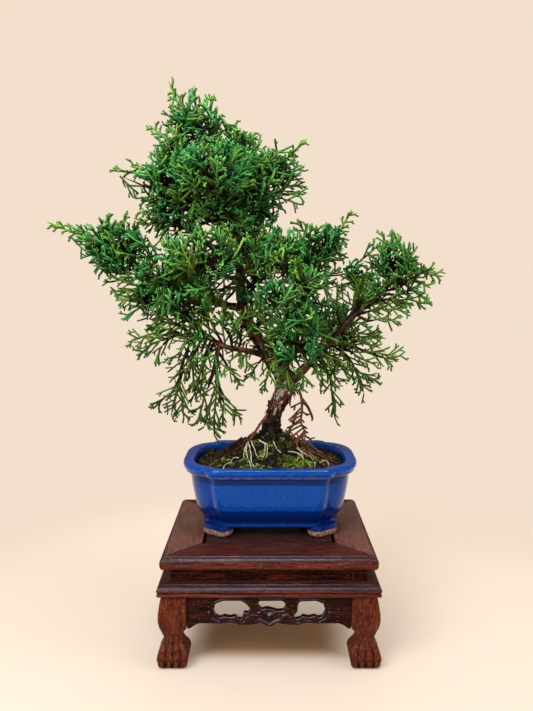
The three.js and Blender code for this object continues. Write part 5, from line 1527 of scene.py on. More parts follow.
# Each pad of the CAD solid: the limb that carries it, and what grows there.
# Masses: centre, radii on X, Y and Z, how open it is, from 0, dense and sunlit, to 1, sparse, long
# and shaded, and how blue it is.
# Shoots, long and free: where each leaves the foliage and where its tip is.
# Fronds, open branchlets below and between the masses: route from the limb to the tip.
PADS = {
    "crown_top": {
        "limb": "trunk", "masses": [((-50, 3, 343), (17, 14, 15), 0.15, 0.51)],
        "shoots": [
            ((-52, 2, 338), (-65, 2, 369)), ((-47, 3, 336), (-49, 3, 367)),
            ((-42, 3, 338), (-36, 4, 362)), ((-38, 4, 334), (-31, 6, 350)),
            ((-45, 3, 340), (-42, 2, 359)), ((-56, 2, 332), (-68, 2, 343)),
        ],
    },
    "crown_left": {
        "limb": "crown_left",
        "masses": [
            ((-58, -7, 322), (15, 18, 11), 0.1, 0.57), ((-63, -10, 307), (19, 16, 14), 0.2, 0.69),
        ],
        "shoots": [
            ((-68, -7, 308), (-103, -8, 312)), ((-74, -8, 311), (-90, -9, 314)),
            ((-62, -7, 328), (-78, -4, 341)),
        ],
    },
    "crown_right": {
        "limb": "crown_right",
        "masses": [((-21, 8, 326), (16, 18, 15), 0.1, 0.57), ((-4, 4, 314), (14, 16, 10), 0.2, 0.57)],
        "shoots": [
            ((4, 8, 314), (25, 8, 334)), ((-24, 10, 328), (-22, 12, 346)),
            ((-18, 10, 324), (-13, 12, 339)),
        ],
    },
    "crown_far_right": {
        "limb": "crown_far_right", "masses": [((5, 4, 313), (14, 15, 10), 0.3, 0.63)],
        "shoots": [
            ((8, 6, 304), (26, 6, 303)), ((8, 6, 308), (24, 8, 317)), ((6, 6, 312), (16, 8, 327)),
        ],
        "fronds": [
            [(-10, 4, 299), (2, 2, 299), (12, 0, 297), (23, 0, 297)],
            [(-8, 4, 300), (4, -2, 296), (12, -4, 293), (20, -4, 292)],
        ],
    },
    "crown_low_left": {
        "limb": "crown_low_left",
        "masses": [
            ((-64, -7, 291), (19, 17, 11), 0.5, 0.63), ((-62, -10, 276), (21, 14, 9), 0.8, 0.69),
        ],
        "shoots": [((-70, -7, 292), (-84, -8, 292)), ((-70, -8, 288), (-86, -10, 284))],
        "fronds": [[(-44, -6, 290), (-56, -8, 286), (-70, -10, 283), (-84, -10, 278)]],
    },
    "crown_front": {
        "limb": "crown_front",
        "masses": [
            ((-36, -28, 307), (25, 16, 18), 0.0, 0.51), ((-12, -14, 300), (18, 14, 14), 0.3, 0.57),
        ],
    },
    "crown_inner": {
        "limb": "crown_inner",
        "masses": [
            ((-8, 1, 284), (12, 14, 12), 0.7, 0.69), ((3, 1, 285), (8, 9, 7), 0.9, 0.5),
            ((-33, -17, 279), (21, 12, 12), 0.5, 0.65),
        ],
        "fronds": [
            [(-21, 0, 268), (-12, -8, 272), (-4, -12, 272), (6, -14, 270)],
            [(-20, 0, 262), (-12, -8, 264), (-6, -12, 262), (2, -14, 256)],
            [(-22, 0, 272), (-30, -10, 270), (-38, -16, 268), (-46, -18, 272)],
        ],
    },
    "left": {
        "limb": "left",
        "masses": [
            ((-97, -4, 261), (18, 20, 15), 0.15, 0.63), ((-110, -5, 267), (13, 12, 12), 0.2, 0.57),
            ((-104, -10, 251), (13, 12, 8), 0.6, 0.63),
        ],
        "shoots": [
            ((-112, -5, 266), (-146, -4, 279)), ((-108, -6, 265), (-124, -8, 270)),
            ((-110, -6, 268), (-131, -6, 276)), ((-96, -4, 266), (-95, -4, 284)),
            ((-102, -4, 266), (-106, -4, 282)), ((-90, -4, 262), (-86, -4, 279)),
        ],
    },
    "front_left": {
        "limb": "front_left",
        "masses": [
            ((-41, -34, 257), (24, 17, 15), 0.1, 0.62), ((-68, -22, 243), (16, 14, 11), 0.5, 0.63),
        ],
        "shoots": [((-56, -36, 258), (-66, -38, 263))],
        "fronds": [
            [(-22, -4, 241), (-28, -12, 236), (-36, -18, 232), (-46, -20, 228)],
            [(-20, 2, 240), (-24, -6, 232), (-30, -10, 225), (-28, -12, 214)],
        ],
    },
    "left_low": {
        "limb": "left_low", "masses": [((-79, -16, 230), (13, 13, 10), 0.5, 0.57)],
        "fronds": [
            [(-65, -8, 236), (-74, -12, 232), (-84, -15, 230), (-98, -16, 228)],
            [(-68, -9, 235), (-76, -14, 228), (-84, -15, 223), (-93, -14, 217)],
            [(-60, -8, 234), (-66, -12, 226), (-71, -14, 220), (-74, -14, 215)],
            [(-56, -8, 233), (-62, -14, 225), (-68, -18, 218), (-72, -18, 209)],
            [(-74, -7, 239), (-84, -8, 236), (-92, -8, 234), (-103, -8, 234)],
            [(-77, -6, 241), (-84, -10, 242), (-92, -12, 242), (-105, -12, 240)],
            [(-72, -7, 239), (-80, -12, 238), (-88, -14, 238), (-97, -14, 242)],
            [(-62, -8, 234), (-68, -14, 224), (-72, -16, 216), (-76, -16, 209)],
        ],
    },
    "lower_left_upper": {
        "limb": "low_left_rise", "masses": [((-54, -25, 223), (21, 15, 14), 0.5, 0.51)],
        "fronds": [
            [(-38, -17, 202), (-44, -22, 208), (-52, -26, 211), (-63, -27, 208)],
            [(-42, -17, 204), (-46, -19, 212), (-50, -20, 219), (-54, -20, 230)],
            [(-30, -16, 199), (-34, -20, 207), (-38, -22, 216), (-42, -22, 228)],
            [(-24, -15, 197), (-26, -18, 206), (-30, -20, 214), (-30, -20, 226)],
            [(-20, -14, 196), (-18, -18, 204), (-20, -22, 211), (-16, -24, 220)],
            [(-33, -16, 200), (-40, -22, 206), (-48, -26, 204), (-56, -27, 198)],
            [(-40, -6, 228), (-42, -8, 220), (-46, -10, 212), (-44, -11, 200)],
        ],
    },
    "lower_left_outer": {
        "limb": "low_left",
        "fronds": [
            [(-55, -18, 205), (-66, -17, 209), (-76, -17, 206), (-91, -16, 201)],
            [(-55, -18, 205), (-64, -19, 204), (-74, -18, 200), (-86, -16, 193)],
            [(-58, -17, 207), (-66, -16, 202), (-71, -16, 196), (-75, -16, 187)],
            [(-55, -18, 205), (-62, -21, 207), (-70, -21, 206), (-77, -19, 202)],
            [(-50, -18, 206), (-60, -19, 213), (-68, -20, 213), (-74, -18, 209)],
        ],
    },
    "lower_left_hanging": {
        "limb": "low_left_drop",
        "fronds": [
            [(-50, -18, 203), (-55, -19, 190), (-57, -20, 178), (-65, -20, 154)],
            [(-52, -19, 196), (-57, -21, 184), (-58, -22, 170), (-55, -22, 152)],
            [(-56, -20, 182), (-61, -20, 172), (-66, -20, 165), (-75, -20, 158)],
            [(-48, -18, 203), (-50, -15, 190), (-50, -14, 180), (-48, -15, 162)],
            [(-44, -17, 203), (-48, -20, 194), (-51, -22, 186), (-54, -21, 179)],
            [(-40, -17, 203), (-43, -21, 198), (-44, -23, 192), (-42, -23, 184)],
        ],
    },
    "hanging": {
        "limb": "hanging",
        "fronds": [
            [(-33, -16, 200), (-34, -19, 185), (-36, -22, 168), (-43, -22, 146)],
            [(-34, -17, 196), (-37, -20, 180), (-42, -22, 165), (-48, -22, 145)],
            [(-34, -18, 188), (-34, -20, 172), (-35, -22, 158), (-35, -22, 141)],
            [(-35, -20, 176), (-31, -22, 166), (-27, -24, 160), (-18, -25, 152)],
            [(-33, -16, 194), (-28, -16, 186), (-24, -16, 180), (-19, -16, 172)],
            [(-36, -17, 200), (-41, -14, 190), (-44, -13, 182), (-45, -14, 166)],
            [(-38, -17, 201), (-42, -21, 192), (-44, -23, 183), (-46, -23, 170)],
            [(1, -5, 189), (0, -10, 182), (-1, -12, 176), (-3, -12, 168)],
            [(-2, -5, 192), (-5, -10, 188), (-8, -12, 184), (-12, -12, 177)],
            [(-34, -19, 182), (-33, -22, 170), (-30, -24, 158), (-30, -24, 147)],
        ],
    },
    "mid_right": {
        "limb": "rising_right",
        "masses": [((36, 11, 264), (16, 17, 14), 0.1, 0.7), ((24, 6, 247), (15, 14, 12), 0.5, 0.75)],
        "shoots": [((44, 12, 266), (56, 10, 288)), ((30, 12, 266), (19, 14, 281))],
        "fronds": [
            [(26, 9, 230), (32, 4, 234), (38, 2, 240), (46, 2, 250)],
            [(20, 8, 224), (20, 2, 232), (18, -2, 240), (16, -4, 250)],
        ],
    },
    "mid_front": {
        "limb": "mid_front",
        "masses": [
            ((8, -22, 258), (15, 13, 14), 0.2, 0.63), ((-10, -14, 238), (14, 10, 11), 0.6, 0.63),
            ((-6, -12, 213), (10, 8, 8), 0.7, 0.4),
        ],
        "fronds": [
            [(-19, 3, 244), (-14, -6, 240), (-10, -12, 234), (-8, -14, 224)],
            [(-18, 3, 238), (-14, -6, 230), (-10, -12, 222), (-12, -14, 210)],
            [(-18, 2, 252), (-12, -6, 250), (-4, -12, 246), (4, -14, 238)],
            [(-16, 2, 226), (-8, -6, 226), (-2, -12, 222), (2, -16, 214)],
            [(-19, 2, 256), (-14, -10, 258), (-8, -14, 262), (-4, -14, 272)],
            [(-13, 0, 212), (-18, -6, 216), (-22, -10, 213), (-24, -10, 204)],
            [(-17, 2, 230), (-12, -8, 234), (-6, -12, 240), (0, -14, 248)],
            [(-12, 0, 210), (-16, -8, 210), (-22, -12, 212), (-26, -12, 218)],
            [(-8, -2, 203), (-12, -10, 202), (-16, -14, 200), (-18, -14, 192)],
            [(-4, -3, 197), (-10, -10, 196), (-14, -14, 192), (-14, -14, 184)],
            [(-19, 3, 236), (-24, -4, 236), (-28, -8, 234), (-32, -10, 228)],
            [(-14, 0, 213), (-18, -4, 208), (-21, -8, 204), (-22, -8, 196)],
        ],
    },
    "front_right": {
        "limb": "front_right",
        "masses": [
            ((10, -36, 251), (12, 11, 10), 0.1, 0.3), ((22, -40, 237), (13, 13, 11), 0.1, 0.45),
            ((4, -38, 231), (13, 12, 10), 0.4, 0.6), ((17, -40, 218), (14, 13, 10), 0.3, 0.65),
        ],
        "fronds": [
            [(6, -5, 190), (4, -14, 200), (0, -20, 208), (-4, -22, 218)],
            [(8, -8, 194), (12, -18, 203), (20, -22, 210), (30, -22, 216)],
            [(11, -16, 202), (22, -20, 206), (32, -22, 206), (42, -20, 202)],
        ],
    },
    "far_right": {
        "limb": "right",
        "masses": [((84, 0, 253), (15, 16, 14), 0.1, 0.55), ((91, 0, 238), (10, 12, 9), 0.4, 0.63)],
        "shoots": [
            ((80, 0, 256), (75, 0, 273)), ((86, 0, 256), (84, 0, 271)), ((92, 0, 248), (117, -2, 243)),
            ((92, 0, 244), (111, -2, 249)), ((88, 0, 240), (111, 0, 224)),
            ((90, 0, 246), (109, -2, 235)),
        ],
        "fronds": [
            [(60, 5, 217), (66, 2, 214), (75, 0, 215), (87, 0, 214)],
            [(58, 6, 218), (62, 2, 224), (65, 0, 230), (70, -2, 237)],
            [(58, 6, 218), (60, 0, 226), (60, -2, 234), (58, -2, 242)],
            [(64, 4, 222), (70, -2, 226), (72, -4, 234), (66, -4, 242)],
            [(68, 3, 225), (76, -2, 226), (82, -3, 224), (92, -2, 219)],
            [(74, 1, 231), (84, 0, 231), (94, 0, 228), (105, 0, 225)],
            [(66, 2, 222), (73, 2, 227), (80, 3, 228), (89, 3, 224)],
            [(77, 0, 234), (84, -4, 240), (91, -6, 243), (96, -6, 248)],
            [(70, 3, 227), (78, -2, 228), (86, -4, 228), (95, -4, 225)],
            [(58, 6, 217), (64, 1, 219), (70, -2, 221), (77, -2, 223)],
        ],
    },
    "mid_far_right": {
        "limb": "mid_right", "masses": [((60, 10, 243), (11, 12, 11), 0.4, 0.75)],
        "fronds": [
            [(56, 7, 216), (60, 2, 224), (64, 0, 232), (66, -2, 242)],
            [(50, 9, 207), (47, 4, 216), (46, 2, 226), (46, 0, 238)],
        ],
    },
    "lower_right": {
        "limb": "low_right",
        "fronds": [
            [(41, 10, 197), (50, 6, 192), (57, 3, 184), (66, 2, 164)],
            [(41, 10, 197), (52, 6, 190), (62, 3, 178), (75, 2, 171)],
            [(42, 9, 197), (56, 4, 196), (68, 1, 192), (90, 0, 190)],
            [(44, 9, 199), (52, 4, 201), (60, 2, 203), (74, 0, 203)],
            [(46, 9, 203), (54, 2, 204), (62, -2, 206), (72, -4, 204)],
            [(46, 9, 197), (54, 4, 193), (60, 2, 189), (71, 0, 184)],
            [(32, 8, 188), (38, 2, 182), (42, -2, 172), (45, -3, 149)],
            [(26, 6, 182), (30, 2, 184), (34, 0, 183), (41, -2, 178)],
            [(28, 6, 184), (32, 2, 180), (36, -2, 176), (35, -4, 168)],
            [(34, 8, 190), (38, 2, 185), (43, -2, 180), (48, -3, 171)],
            [(62, 3, 194), (72, 2, 190), (80, 0, 188), (84, 0, 184)],
            [(36, 9, 193), (42, 2, 190), (47, -2, 186), (52, -4, 180)],
            [(30, 7, 187), (36, -2, 189), (43, -6, 188), (51, -8, 185)],
            [(50, 8, 205), (56, 2, 200), (63, 0, 199), (72, -2, 197)],
            [(30, 7, 186), (36, 0, 181), (41, -4, 176), (45, -6, 170)],
            [(38, 9, 194), (45, 2, 186), (51, -2, 180), (57, -3, 174)],
        ],
    },
    "low_front": {
        "limb": "low_front", "masses": [((18, -33, 200), (14, 12, 11), 0.45, 0.8)],
        "fronds": [
            [(11, -14, 188), (8, -22, 192), (4, -28, 190), (0, -30, 182)],
            [(12, -20, 192), (17, -28, 190), (20, -32, 184), (22, -32, 172)],
            [(12, -20, 192), (12, -30, 190), (12, -34, 182), (13, -34, 171)],
            [(12, -18, 191), (9, -28, 192), (7, -32, 184), (6, -32, 174)],
            [(13, -20, 194), (21, -28, 196), (27, -31, 192), (31, -31, 180)],
            [(14, -20, 196), (24, -28, 200), (33, -29, 196), (40, -29, 187)],
        ],
    },
    "back_high": {
        "limb": "back_high", "masses": [((-30, 39, 298), (25, 18, 20), 0.3, 0.69)],
        "shoots": [((-30, 46, 302), (-30, 62, 312))],
    },
    "back_mid": {
        "limb": "back_mid", "masses": [((-9, 41, 263), (23, 18, 18), 0.3, 0.69)],
        "shoots": [((-6, 48, 262), (-2, 64, 262))],
    },
    "back_left": {
        "limb": "back_left", "masses": [((-60, 35, 240), (21, 18, 16), 0.4, 0.69)],
        "shoots": [((-66, 42, 242), (-78, 52, 244))],
    },
    "back_right": {
        "limb": "back_right", "masses": [((43, 42, 210), (20, 18, 16), 0.4, 0.69)],
        "shoots": [((46, 50, 209), (52, 64, 208))],
    },
}

# How a cord of each order is built: points along it, sides, radius against the full one, how far
# apart its side cords stand, where they begin and end, and how they fork.
ORDERS = [
    {"points": 6, "sides": 5, "girth": 1.0, "spacing": 2.8, "first": 0.08, "last": 0.86, "fork": 0.82},
    {"points": 4, "sides": 5, "girth": 0.97, "spacing": 3.6, "first": 0.4, "last": 0.8, "fork": 0.75},
    {"points": 3, "sides": 4, "girth": 0.93, "spacing": 3.0, "first": 1.0, "last": 1.0, "fork": 0.7},
]
# How fresh the green is along a cord of each order, from its root to its tip.
FRESHNESS = [(0.0, 0.4, 0.66, 0.8, 0.88, 1.0), (0.55, 0.75, 0.87, 1.0), (0.75, 0.87, 1.0)]
# Painted light: how much lighter the upper side of a cord is painted than its middle, and how much darker
# its underside.
PAINTED_TOP_LIGHT = 0.22
# Surface of a mass to each spray, in square millimetres, where it is dense and where it is open.
SPRAY_AREA = (84, 122)
BLUNT = 0.9
# A branchlet is painted darker, as shade, the further it hangs: over 8 mm at first, and fully at 30 mm
# more. Then the tone of one that doesn't hang, what hanging takes off it, the woody share and the spacing.
HANG_FROM, HANG_OVER = 8, 30
FROND_TONE, HANG_SHADE = 0.96, 0.34
FROND_WOODY = 0.55
FROND_SPACING = (3.8, 6.2)


class Cords:
    """Cords gathered for one pad: leafy ones, and the twigs that carry them."""

    def __init__(self, radius, seed):
        self.rng = np.random.default_rng(seed)
        self.radius = radius
        self.groups = {}

    def add(self, line, radii, fresh, bluish, sides, twig=False):
        key = (len(line), sides)
        self.groups.setdefault(key, []).append((line, radii, fresh, bluish, twig))

    def mesh(self):
        """Points, triangles, material indices, freshness and bluishness of all the cords."""
        out, offset = [], 0
        for (count, sides), cords in self.groups.items():
            lines, radii, fresh, bluish, twig = (np.array(part) for part in zip(*cords))
            number = len(cords)
            ways = lines[:, -1] - lines[:, 0]
            ways /= np.linalg.norm(ways, axis=1)[:, None] + 1e-9
            aside = np.cross(ways, (0.37, 0.71, 0.6))
            aside /= np.linalg.norm(aside, axis=1)[:, None] + 1e-9
            up = np.cross(ways, aside)
            angles = np.arange(sides) * 2 * math.pi / sides
            cosines, sines = np.cos(angles)[None, :, None], np.sin(angles)[None, :, None]
            spokes = cosines * aside[:, None] + sines * up[:, None]
            rings = lines[:, :-1, None] + spokes[:, None] * radii[:, :-1, None, None]
            points = np.concatenate([rings.reshape(number, -1, 3), lines[:, -1:]], axis=1)
            per_cord = (count - 1) * sides + 1
            faces = cord_faces(count - 1, sides)
            starts = offset + np.arange(number) * per_cord
            # Painted light: each cord is painted lighter on its upper side and darker below.
            lit_and_shaded_walls = fresh[:, :-1, None] * (1 + PAINTED_TOP_LIGHT * spokes[:, None, :, 2] / 0.5)
            tone = np.concatenate([lit_and_shaded_walls.reshape(number, -1), fresh[:, -1:]], axis=1)
            out.append(
                (
                    points.reshape(-1, 3), (faces[None] + starts[:, None, None]).reshape(-1, 3),
                    np.repeat(twig.astype(int), len(faces)), tone.ravel(), np.repeat(bluish, per_cord),
                )
            )
            offset += number * per_cord
        return [np.concatenate(parts) for parts in zip(*out)]


def cord_faces(rings, sides):
    """Triangles of one cord: its closed root, its wall and its blunt tip."""
    i = np.arange(sides)
    j = (i + 1) % sides
    faces = [np.array([[0, k + 1, k] for k in range(1, sides - 1)])]
    for r in range(rings - 1):
        a, b = r * sides + i, r * sides + j
        faces.append(np.column_stack([a, b, b + sides]))
        faces.append(np.column_stack([a, b + sides, a + sides]))
    last = (rings - 1) * sides
    faces.append(np.column_stack([last + i, last + j, np.full(sides, rings * sides)]))
    return np.vstack(faces)


def cord_line(start, way, length, lift, count):
    """Points of a cord that leaves along way and bends upwards, closer together near its tip."""
    t = np.append(np.linspace(0, BLUNT, count - 1), 1.0)[:, None]
    return start + way * length * t + np.array([0, 0, lift * length]) * t**2


def grow(cords, start, way, length, plane, order, look, youth=1.0):
    """Grows a cord with its side cords, which fork once more.

    Look holds the spray's lift, freshness at root and tip, bluishness, girth, openness, longest
    side cord and the mass of foliage whose inside is painted dark, as shade. Youth lowers the
    freshness of the side cords that grow low on a cord.
    """
    rng = cords.rng
    rule = ORDERS[order]
    lift = look["lift"] * (1.0 if order == 0 else 0.6)
    count = rule["points"]
    line = cord_line(start, way, length, lift, count)
    girth = cords.radius * rule["girth"] * look["girth"]
    radii = girth * np.interp(np.linspace(0, 1, count), [0, 0.3, 0.8, 1.0], [0.86, 1.0, 1.0, 0.78])
    low, high = look["fresh"]
    fresh = youth * (low + (high - low) * np.array(FRESHNESS[order]))
    # Painted shade: cords deep inside the mass are painted darker, towards near black.
    if look["mass"]:
        centre, reach = look["mass"]
        depth = np.linalg.norm((line - centre) / reach, axis=1)
        fresh = fresh * (0.08 + 0.92 * np.clip((depth - 0.42) / 0.43, 0, 1))
    cords.add(line, radii, fresh, look["bluish"], rule["sides"])
    if order == 2:
        return
    number = round(length * (rule["last"] - rule["first"]) / (rule["spacing"] * look["open"]))
    aside = unit(np.cross(way, plane))
    for k in range(number):
        t = rule["first"] + (rule["last"] - rule["first"]) * (k + rng.uniform(0.2, 0.8)) / number
        place = start + way * length * t + np.array([0, 0, lift * length]) * t * t
        tangent = unit(way + np.array([0, 0, 2 * lift * t]))
        roll = rng.normal(0, 0.7) + (math.pi if k % 2 else 0)
        outward = math.cos(roll) * aside + math.sin(roll) * plane
        fork = rule["fork"] * rng.uniform(0.8, 1.2)
        branch_way = unit(tangent * math.cos(fork) + outward * math.sin(fork))
        if order == 0:
            side_length = min(look["spread"], 3.8 + 0.62 * length * (1 - t)) * rng.uniform(0.8, 1.2)
        else:
            side_length = min(6.0, 2.4 + 0.5 * length * (1 - t)) * rng.uniform(0.8, 1.2)
        side_plane = unit(np.cross(branch_way, aside) + 1e-3)
        side_youth = youth * (0.7 + 0.3 * t) * rng.uniform(0.8, 1.15)
        grow(cords, place, branch_way, side_length, side_plane, order + 1, look, side_youth)


def add_twig(cords, start, middle, end, radii):
    """A bare twig that bends from its root by way of a middle point."""
    line = bezier([start, middle, end], 5)
    cords.add(line, np.linspace(*radii, 5), np.zeros(5), 0.0, 5, twig=True)


def even_directions(count, rng):
    """Directions spread evenly over all sides, each a little astray."""
    k = np.arange(count) + 0.5
    z = 1 - 2 * k / count
    turn = k * math.pi * (3 - math.sqrt(5)) + rng.uniform(0, 6.28)
    flat = np.sqrt(1 - z * z)
    ways = np.column_stack([flat * np.cos(turn), flat * np.sin(turn), z])
    ways += rng.normal(0, 0.13, ways.shape)
    return ways / np.linalg.norm(ways, axis=1)[:, None]


def spray_look(rng, rise, openness, blue, mass=None):
    """How a spray looks that points up (rise 1) or down (rise -1): the sunlit ones are dense,
    stout and fresh, and the shaded ones open, thin and dark. The tone is partly painted light: a spray
    that faces up is painted fresher, and one that faces down darker, for the shade it stands in."""
    sun = min(1.0, max(0.0, 0.6 + 0.4 * rise - 0.4 * openness + rng.normal(0, 0.12)))
    return {
        "lift": 0.05 + 0.2 * sun,
        "fresh": (0.15 + 0.12 * sun, min(1.0, 0.52 + 0.3 * sun + rng.normal(0, 0.09))),
        "bluish": min(1.0, max(0.0, blue + rng.normal(0, 0.28))),
        "girth": (0.84 + 0.3 * sun) * rng.uniform(0.9, 1.1), "open": 1.0 + 0.35 * openness,
        "spread": 10.5, "mass": mass,
    }


def ellipsoid_area(radii):
    a, b, c = (float(r) for r in radii)
    return 4 * math.pi * (((a * b) ** 1.6 + (a * c) ** 1.6 + (b * c) ** 1.6) / 3) ** (1 / 1.6)


def spray_from(cords, root, tip, look, order=0, facing=None):
    """A spray whose bent leading cord runs from root to tip. Its flat side faces a direction, or
    any direction."""
    reach = tip - root
    length = float(np.linalg.norm(reach))
    axis = unit(reach - np.array([0, 0, look["lift"] * length]))
    if facing is None:
        facing = np.cross(axis, cords.rng.normal(0, 1, 3))
    plane = unit(facing - axis * (facing @ axis))
    grow(cords, root, axis, length, plane, order, look)


def grow_mass(cords, limb_points, mass, density):
    """One mass: a stem from the nearest limb, and twigs from it to all sides, with sprays."""
    centre, radii, openness, blue = mass
    rng = cords.rng
    centre, radii = np.array(centre, float), np.array(radii, float)
    stem_start = limb_points[np.argmin(np.linalg.norm(limb_points - centre, axis=1))]
    bend = (stem_start + centre) / 2 - (0, 0, 2.0)
    add_twig(cords, stem_start, bend, centre, (1.1, 0.8))
    entry = unit((stem_start - centre) / radii)
    area = SPRAY_AREA[0] + (SPRAY_AREA[1] - SPRAY_AREA[0]) * openness
    hubs = bezier([stem_start, bend, centre], 7)[3:]
    # The sprays fan out from the side where the stem comes in, and from low down.
    heart = centre + entry * radii * 0.35 - np.array([0, 0, radii[2] * 0.3])
    for way in even_directions(int(density * ellipsoid_area(radii) / area), rng):
        if way @ entry > 0.9 or (way[2] < -0.5 and rng.random() < 0.3):
            continue
        clump = 1 + 0.24 * noise.noise(Vector(centre + way * 24) / 13)
        tip = centre + way * radii * clump * rng.uniform(0.82, 1.14)
        # A spray leans between its way out and the light, and droops where it is open and shaded.
        rise = 0.7 - 1.2 * openness if way[2] > -0.45 else 0.1 - 0.5 * openness
        lean = unit(0.75 * way + (0, 0, rise) + rng.normal(0, 0.62, 3))
        reach = min(rng.uniform(13.0, 21.0), 1.1 * float(np.linalg.norm(tip - heart)))
        root = tip - unit(lean + 0.3 * unit(tip - heart)) * reach
        hub = hubs[int(rng.integers(0, len(hubs)))]
        add_twig(cords, hub, (hub + root) / 2 + rng.normal(0, 1.2, 3), root, (0.7, 0.5))
        look = spray_look(rng, way[2], openness, blue, (centre, radii))
        spray_from(cords, root, tip, look, facing=way + rng.normal(0, 0.35, 3))


def grow_shoot(cords, root, tip):
    """A long free shoot: stout, fresh and sparsely branched."""
    look = spray_look(cords.rng, unit(tip - root)[2] + 0.6, 0.0, 0.1)
    look.update(fresh=(0.28, 0.7), lift=0.04, open=0.85, spread=6.0, girth=1.1)
    spray_from(cords, root, tip, look)


def grow_frond(cords, route):
    """An open branchlet: a leading cord, woody at its root, with sprays on either side."""
    rng = cords.rng
    points, places = smooth_route(route, 4)
    share = places / places[-1]
    # Blender seeds this noise from the clock, so it differs from run to run.
    wander = np.array([noise.noise_vector(Vector(p) / 9) for p in points]) * 2.2
    points = points + wander * share[:, None]
    look = spray_look(rng, -0.2, 0.9, 0.1)
    # A hanging branchlet is painted darker, as shade.
    hang = min(1.0, max(0.0, (points[0][2] - points[-1][2] - HANG_FROM) / HANG_OVER))
    tone = FROND_TONE - HANG_SHADE * hang
    woody = int(len(points) * FROND_WOODY)
    add_lead(cords, points[: woody + 1], (1.0, 0.75), None)
    leafy = np.linspace(0.4, look["fresh"][1], len(points) - woody) * tone
    add_lead(cords, points[woody:], (0.8, 0.7), leafy)
    run = np.concatenate([[0], np.cumsum(np.linalg.norm(np.diff(points, axis=0), axis=1))])
    side = rng.choice([-1, 1])
    plane = unit(np.cross(points[-1] - points[0], rng.normal(0, 0.35, 3) + (0, 1.0, 0)))
    at = run[-1] * 0.16
    while at < run[-1] - 3:
        k = int(np.searchsorted(run, at))
        place = points[k]
        tangent = unit(points[min(k + 1, len(points) - 1)] - points[k - 1])
        outward = unit(side * plane + rng.normal(0, 0.45, 3))
        way = unit(tangent + outward * rng.uniform(0.55, 0.95))
        length = min(13.0, 5.0 + 0.4 * (run[-1] - at)) * rng.uniform(0.7, 1.2)
        look = spray_look(rng, 0.3 * way[2] + 0.5 * (share[k] - 0.6), 1.0, 0.1)
        fresh = tuple(tone * f for f in look["fresh"])
        look.update(open=1.15, lift=rng.uniform(-0.05, 0.2), fresh=fresh)
        spray_from(cords, place, place + way * length, look, order=1)
        side = -side
        at += rng.uniform(*FROND_SPACING)
    look = spray_look(rng, 0.1, 0.8, 0.2)
    look["fresh"] = tuple(tone * f for f in look["fresh"])
    end_way = unit(points[-1] - points[-4])
    spray_from(cords, points[-4], points[-1] + end_way * 2, look)


def add_lead(cords, points, radii, fresh):
    """A stretch of a branchlet: bare and woody, or leafy where it has a freshness."""
    count = len(points)
    woody = fresh is None
    tone = np.zeros(count) if woody else fresh
    cords.add(points, np.linspace(*radii, count), tone, 0.0, 6, twig=woody)


def grow_along(cords, limb):
    """Small sprays that stand on a limb between the trunk and its foliage."""
    rng = cords.rng
    points, _ = smooth_route(LIMBS[limb][0], 6)
    run = np.linalg.norm(np.diff(points, axis=0), axis=1).sum()
    number = int(run / 4.5)
    for k in range(number):
        t = 0.3 + 0.7 * (k + rng.random()) / number
        at = min(len(points) - 2, int(t * (len(points) - 1)))
        tangent = unit(points[at + 1] - points[at])
        outward = unit(np.cross(tangent, rng.normal(0, 1, 3)))
        way = unit(tangent * 0.6 + outward)
        look = spray_look(rng, way[2], 0.8, 0.3)
        spray_from(cords, points[at], points[at] + way * rng.uniform(10, 20), look)


class BONSAI_OT_foliage(bpy.types.Operator):
    """Makes the foliage, one piece for each pad of the CAD solid"""

    bl_idname = "bonsai.foliage"
    bl_label = "Foliage"

    def execute(self, context):
        settings = context.scene.bonsai_foliage
        limb_points = np.vstack([smooth_route(route, 4)[0] for route, _ in LIMBS.values()])
        for n, (name, pad) in enumerate(PADS.items()):
            cords = Cords(settings.cord_radius, SEEDS["foliage"] + n)
            for mass in pad.get("masses", ()):
                grow_mass(cords, limb_points, mass, settings.density)
            for root, tip in pad.get("shoots", ()):
                grow_shoot(cords, np.array(root, float), np.array(tip, float))
            for route in pad.get("fronds", ()):
                grow_frond(cords, route)
            if pad["limb"] != "trunk":
                grow_along(cords, pad["limb"])
            points, faces, indices, fresh, bluish = cords.mesh()
            piece = mesh_piece(f"sprays_{name}", points, faces, indices, fresh=fresh, bluish=bluish)
            settle(piece, ["leaves", "twig"], [f"foliage_{name}"])
        return {"FINISHED"}


# Stems of the dead spray to the right of the trunk: route, radii at its ends.
DRY_STEMS = [
    (
        [(20, -4, 168), (21.8, -6, 162), (22.3, -7, 153), (21.4, -8, 146), (24, -8, 140), (24.5, -9, 135)],
        (1.1, 0.6),
    ),
    ([(21.8, -6, 162), (26.2, -7, 156), (29.2, -7, 149), (29, -7, 146)], (1.1, 0.8)),
]
DRY_LOOK = {"lift": -0.05, "fresh": (0, 0), "bluish": 0, "girth": 0.95, "open": 1.1}
DRY_LOOK.update(spread=9, mass=None)


